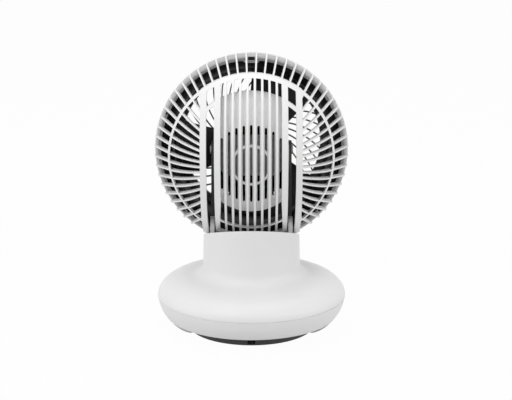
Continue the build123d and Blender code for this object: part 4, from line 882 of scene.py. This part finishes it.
def make_floor():
    """A round paper floor under the object."""
    mesh = bpy.data.meshes.new("studio_floor")
    form = bmesh.new()
    bmesh.ops.create_circle(form, cap_ends=True, radius=FLOOR_SIZE / 2, segments=96)
    form.to_mesh(mesh)
    form.free()
    floor = bpy.data.objects.new("studio_floor", mesh)
    bpy.context.scene.collection.objects.link(floor)
    material = bpy.data.materials.new("white_paper_ground")
    material.use_nodes = True
    tree = material.node_tree
    tree.nodes.clear()
    paper = add(tree, "ShaderNodeBsdfDiffuse", {"Color": colour(PAPER)})
    plain = add(tree, "ShaderNodeEmission", {"Color": WHITE, "Strength": 1.0})
    share = add(tree, "ShaderNodeMath", {0: shown_white(tree), 1: FLOOR_SHOWN}, operation="MULTIPLY")
    both = add(tree, "ShaderNodeMixShader", {0: share.outputs[0], 1: paper.outputs[0], 2: plain.outputs[0]})
    add(tree, "ShaderNodeOutputMaterial", {"Surface": both.outputs[0]})
    mesh.materials.append(material)


def make_world():
    """Even light that is plain white where it is seen or mirrored."""
    world = bpy.data.worlds.new("studio_world")
    bpy.context.scene.world = world
    world.use_nodes = True
    tree = world.node_tree
    tree.nodes.clear()
    light = add(tree, "ShaderNodeBackground", {"Color": WHITE, "Strength": WORLD_LEVEL})
    plain = add(tree, "ShaderNodeBackground", {"Color": WHITE, "Strength": 1.0})
    both = add(tree, "ShaderNodeMixShader", {
        0: shown_white(tree), 1: light.outputs[0], 2: plain.outputs[0],
    })
    add(tree, "ShaderNodeOutputWorld", {"Surface": both.outputs[0]})


def softbox(name, place, size, watts, aim=(0, 0, 0.2)):
    """A square area lamp turned towards a point on the object's axis."""
    lamp = bpy.data.lights.new(name, "AREA")
    lamp.shape = "SQUARE"
    lamp.size = size
    lamp.energy = watts
    holder = bpy.data.objects.new(name, lamp)
    holder.location = place
    holder.rotation_euler = (Vector(aim) - Vector(place)).to_track_quat("-Z", "Y").to_euler()
    bpy.context.scene.collection.objects.link(holder)


make_floor()
make_world()
softbox("key_light", (-0.9, -1.3, 1.9), 1.2, 11)
softbox("fill_light", (1.3, -1.1, 1.0), 1.4, 4)
softbox("top_light", (0.0, 0.3, 2.2), 1.6, 14)
softbox("left_light", (-1.7, -0.5, 0.35), 1.2, 6, aim=(0, 0, 0.1))
softbox("right_light", (1.7, -0.4, 0.35), 1.2, 4, aim=(0, 0, 0.1))
print("studio made")

# %% [markdown]
# ## Camera
#
# The outlines of the head, the neck and the base fix the view: the camera stands 1.7 m behind the
# middle of the head, 11.5 degrees above it, and looks down a little more steeply than that, so that the
# object fills the frame's height. The pixel numbers are the photograph's.

# %% Camera
FRAME_W = 512               # pixels across the frame
FOCAL_PIXELS = 1260         # focal length in the same pixels
AXIS_PIXEL = 251.5          # column of the object's centre line
SENSOR_W = 36               # mm
DISTANCE = 1.7              # from the middle of the head
ABOVE = radians(11.5)
LOOK_DOWN = radians(13.818)

camera_data = bpy.data.cameras.new("view_from_behind")
camera_data.sensor_width = SENSOR_W
camera_data.lens = FOCAL_PIXELS * SENSOR_W / FRAME_W
camera = bpy.data.objects.new("view_from_behind", camera_data)
depth = DISTANCE * (cos(ABOVE) * cos(LOOK_DOWN) + sin(ABOVE) * sin(LOOK_DOWN))
aside = (FRAME_W / 2 - AXIS_PIXEL) * depth / FOCAL_PIXELS
camera.location = HEAD_AXIS * MM + Vector((aside, -DISTANCE * cos(ABOVE), DISTANCE * sin(ABOVE)))
camera.rotation_euler = (pi / 2 - LOOK_DOWN, 0, 0)
bpy.context.scene.collection.objects.link(camera)
bpy.context.scene.camera = camera
bpy.context.scene.view_settings.view_transform = "Standard"
print("camera", [round(v, 4) for v in camera.location], "lens", round(camera_data.lens, 2))
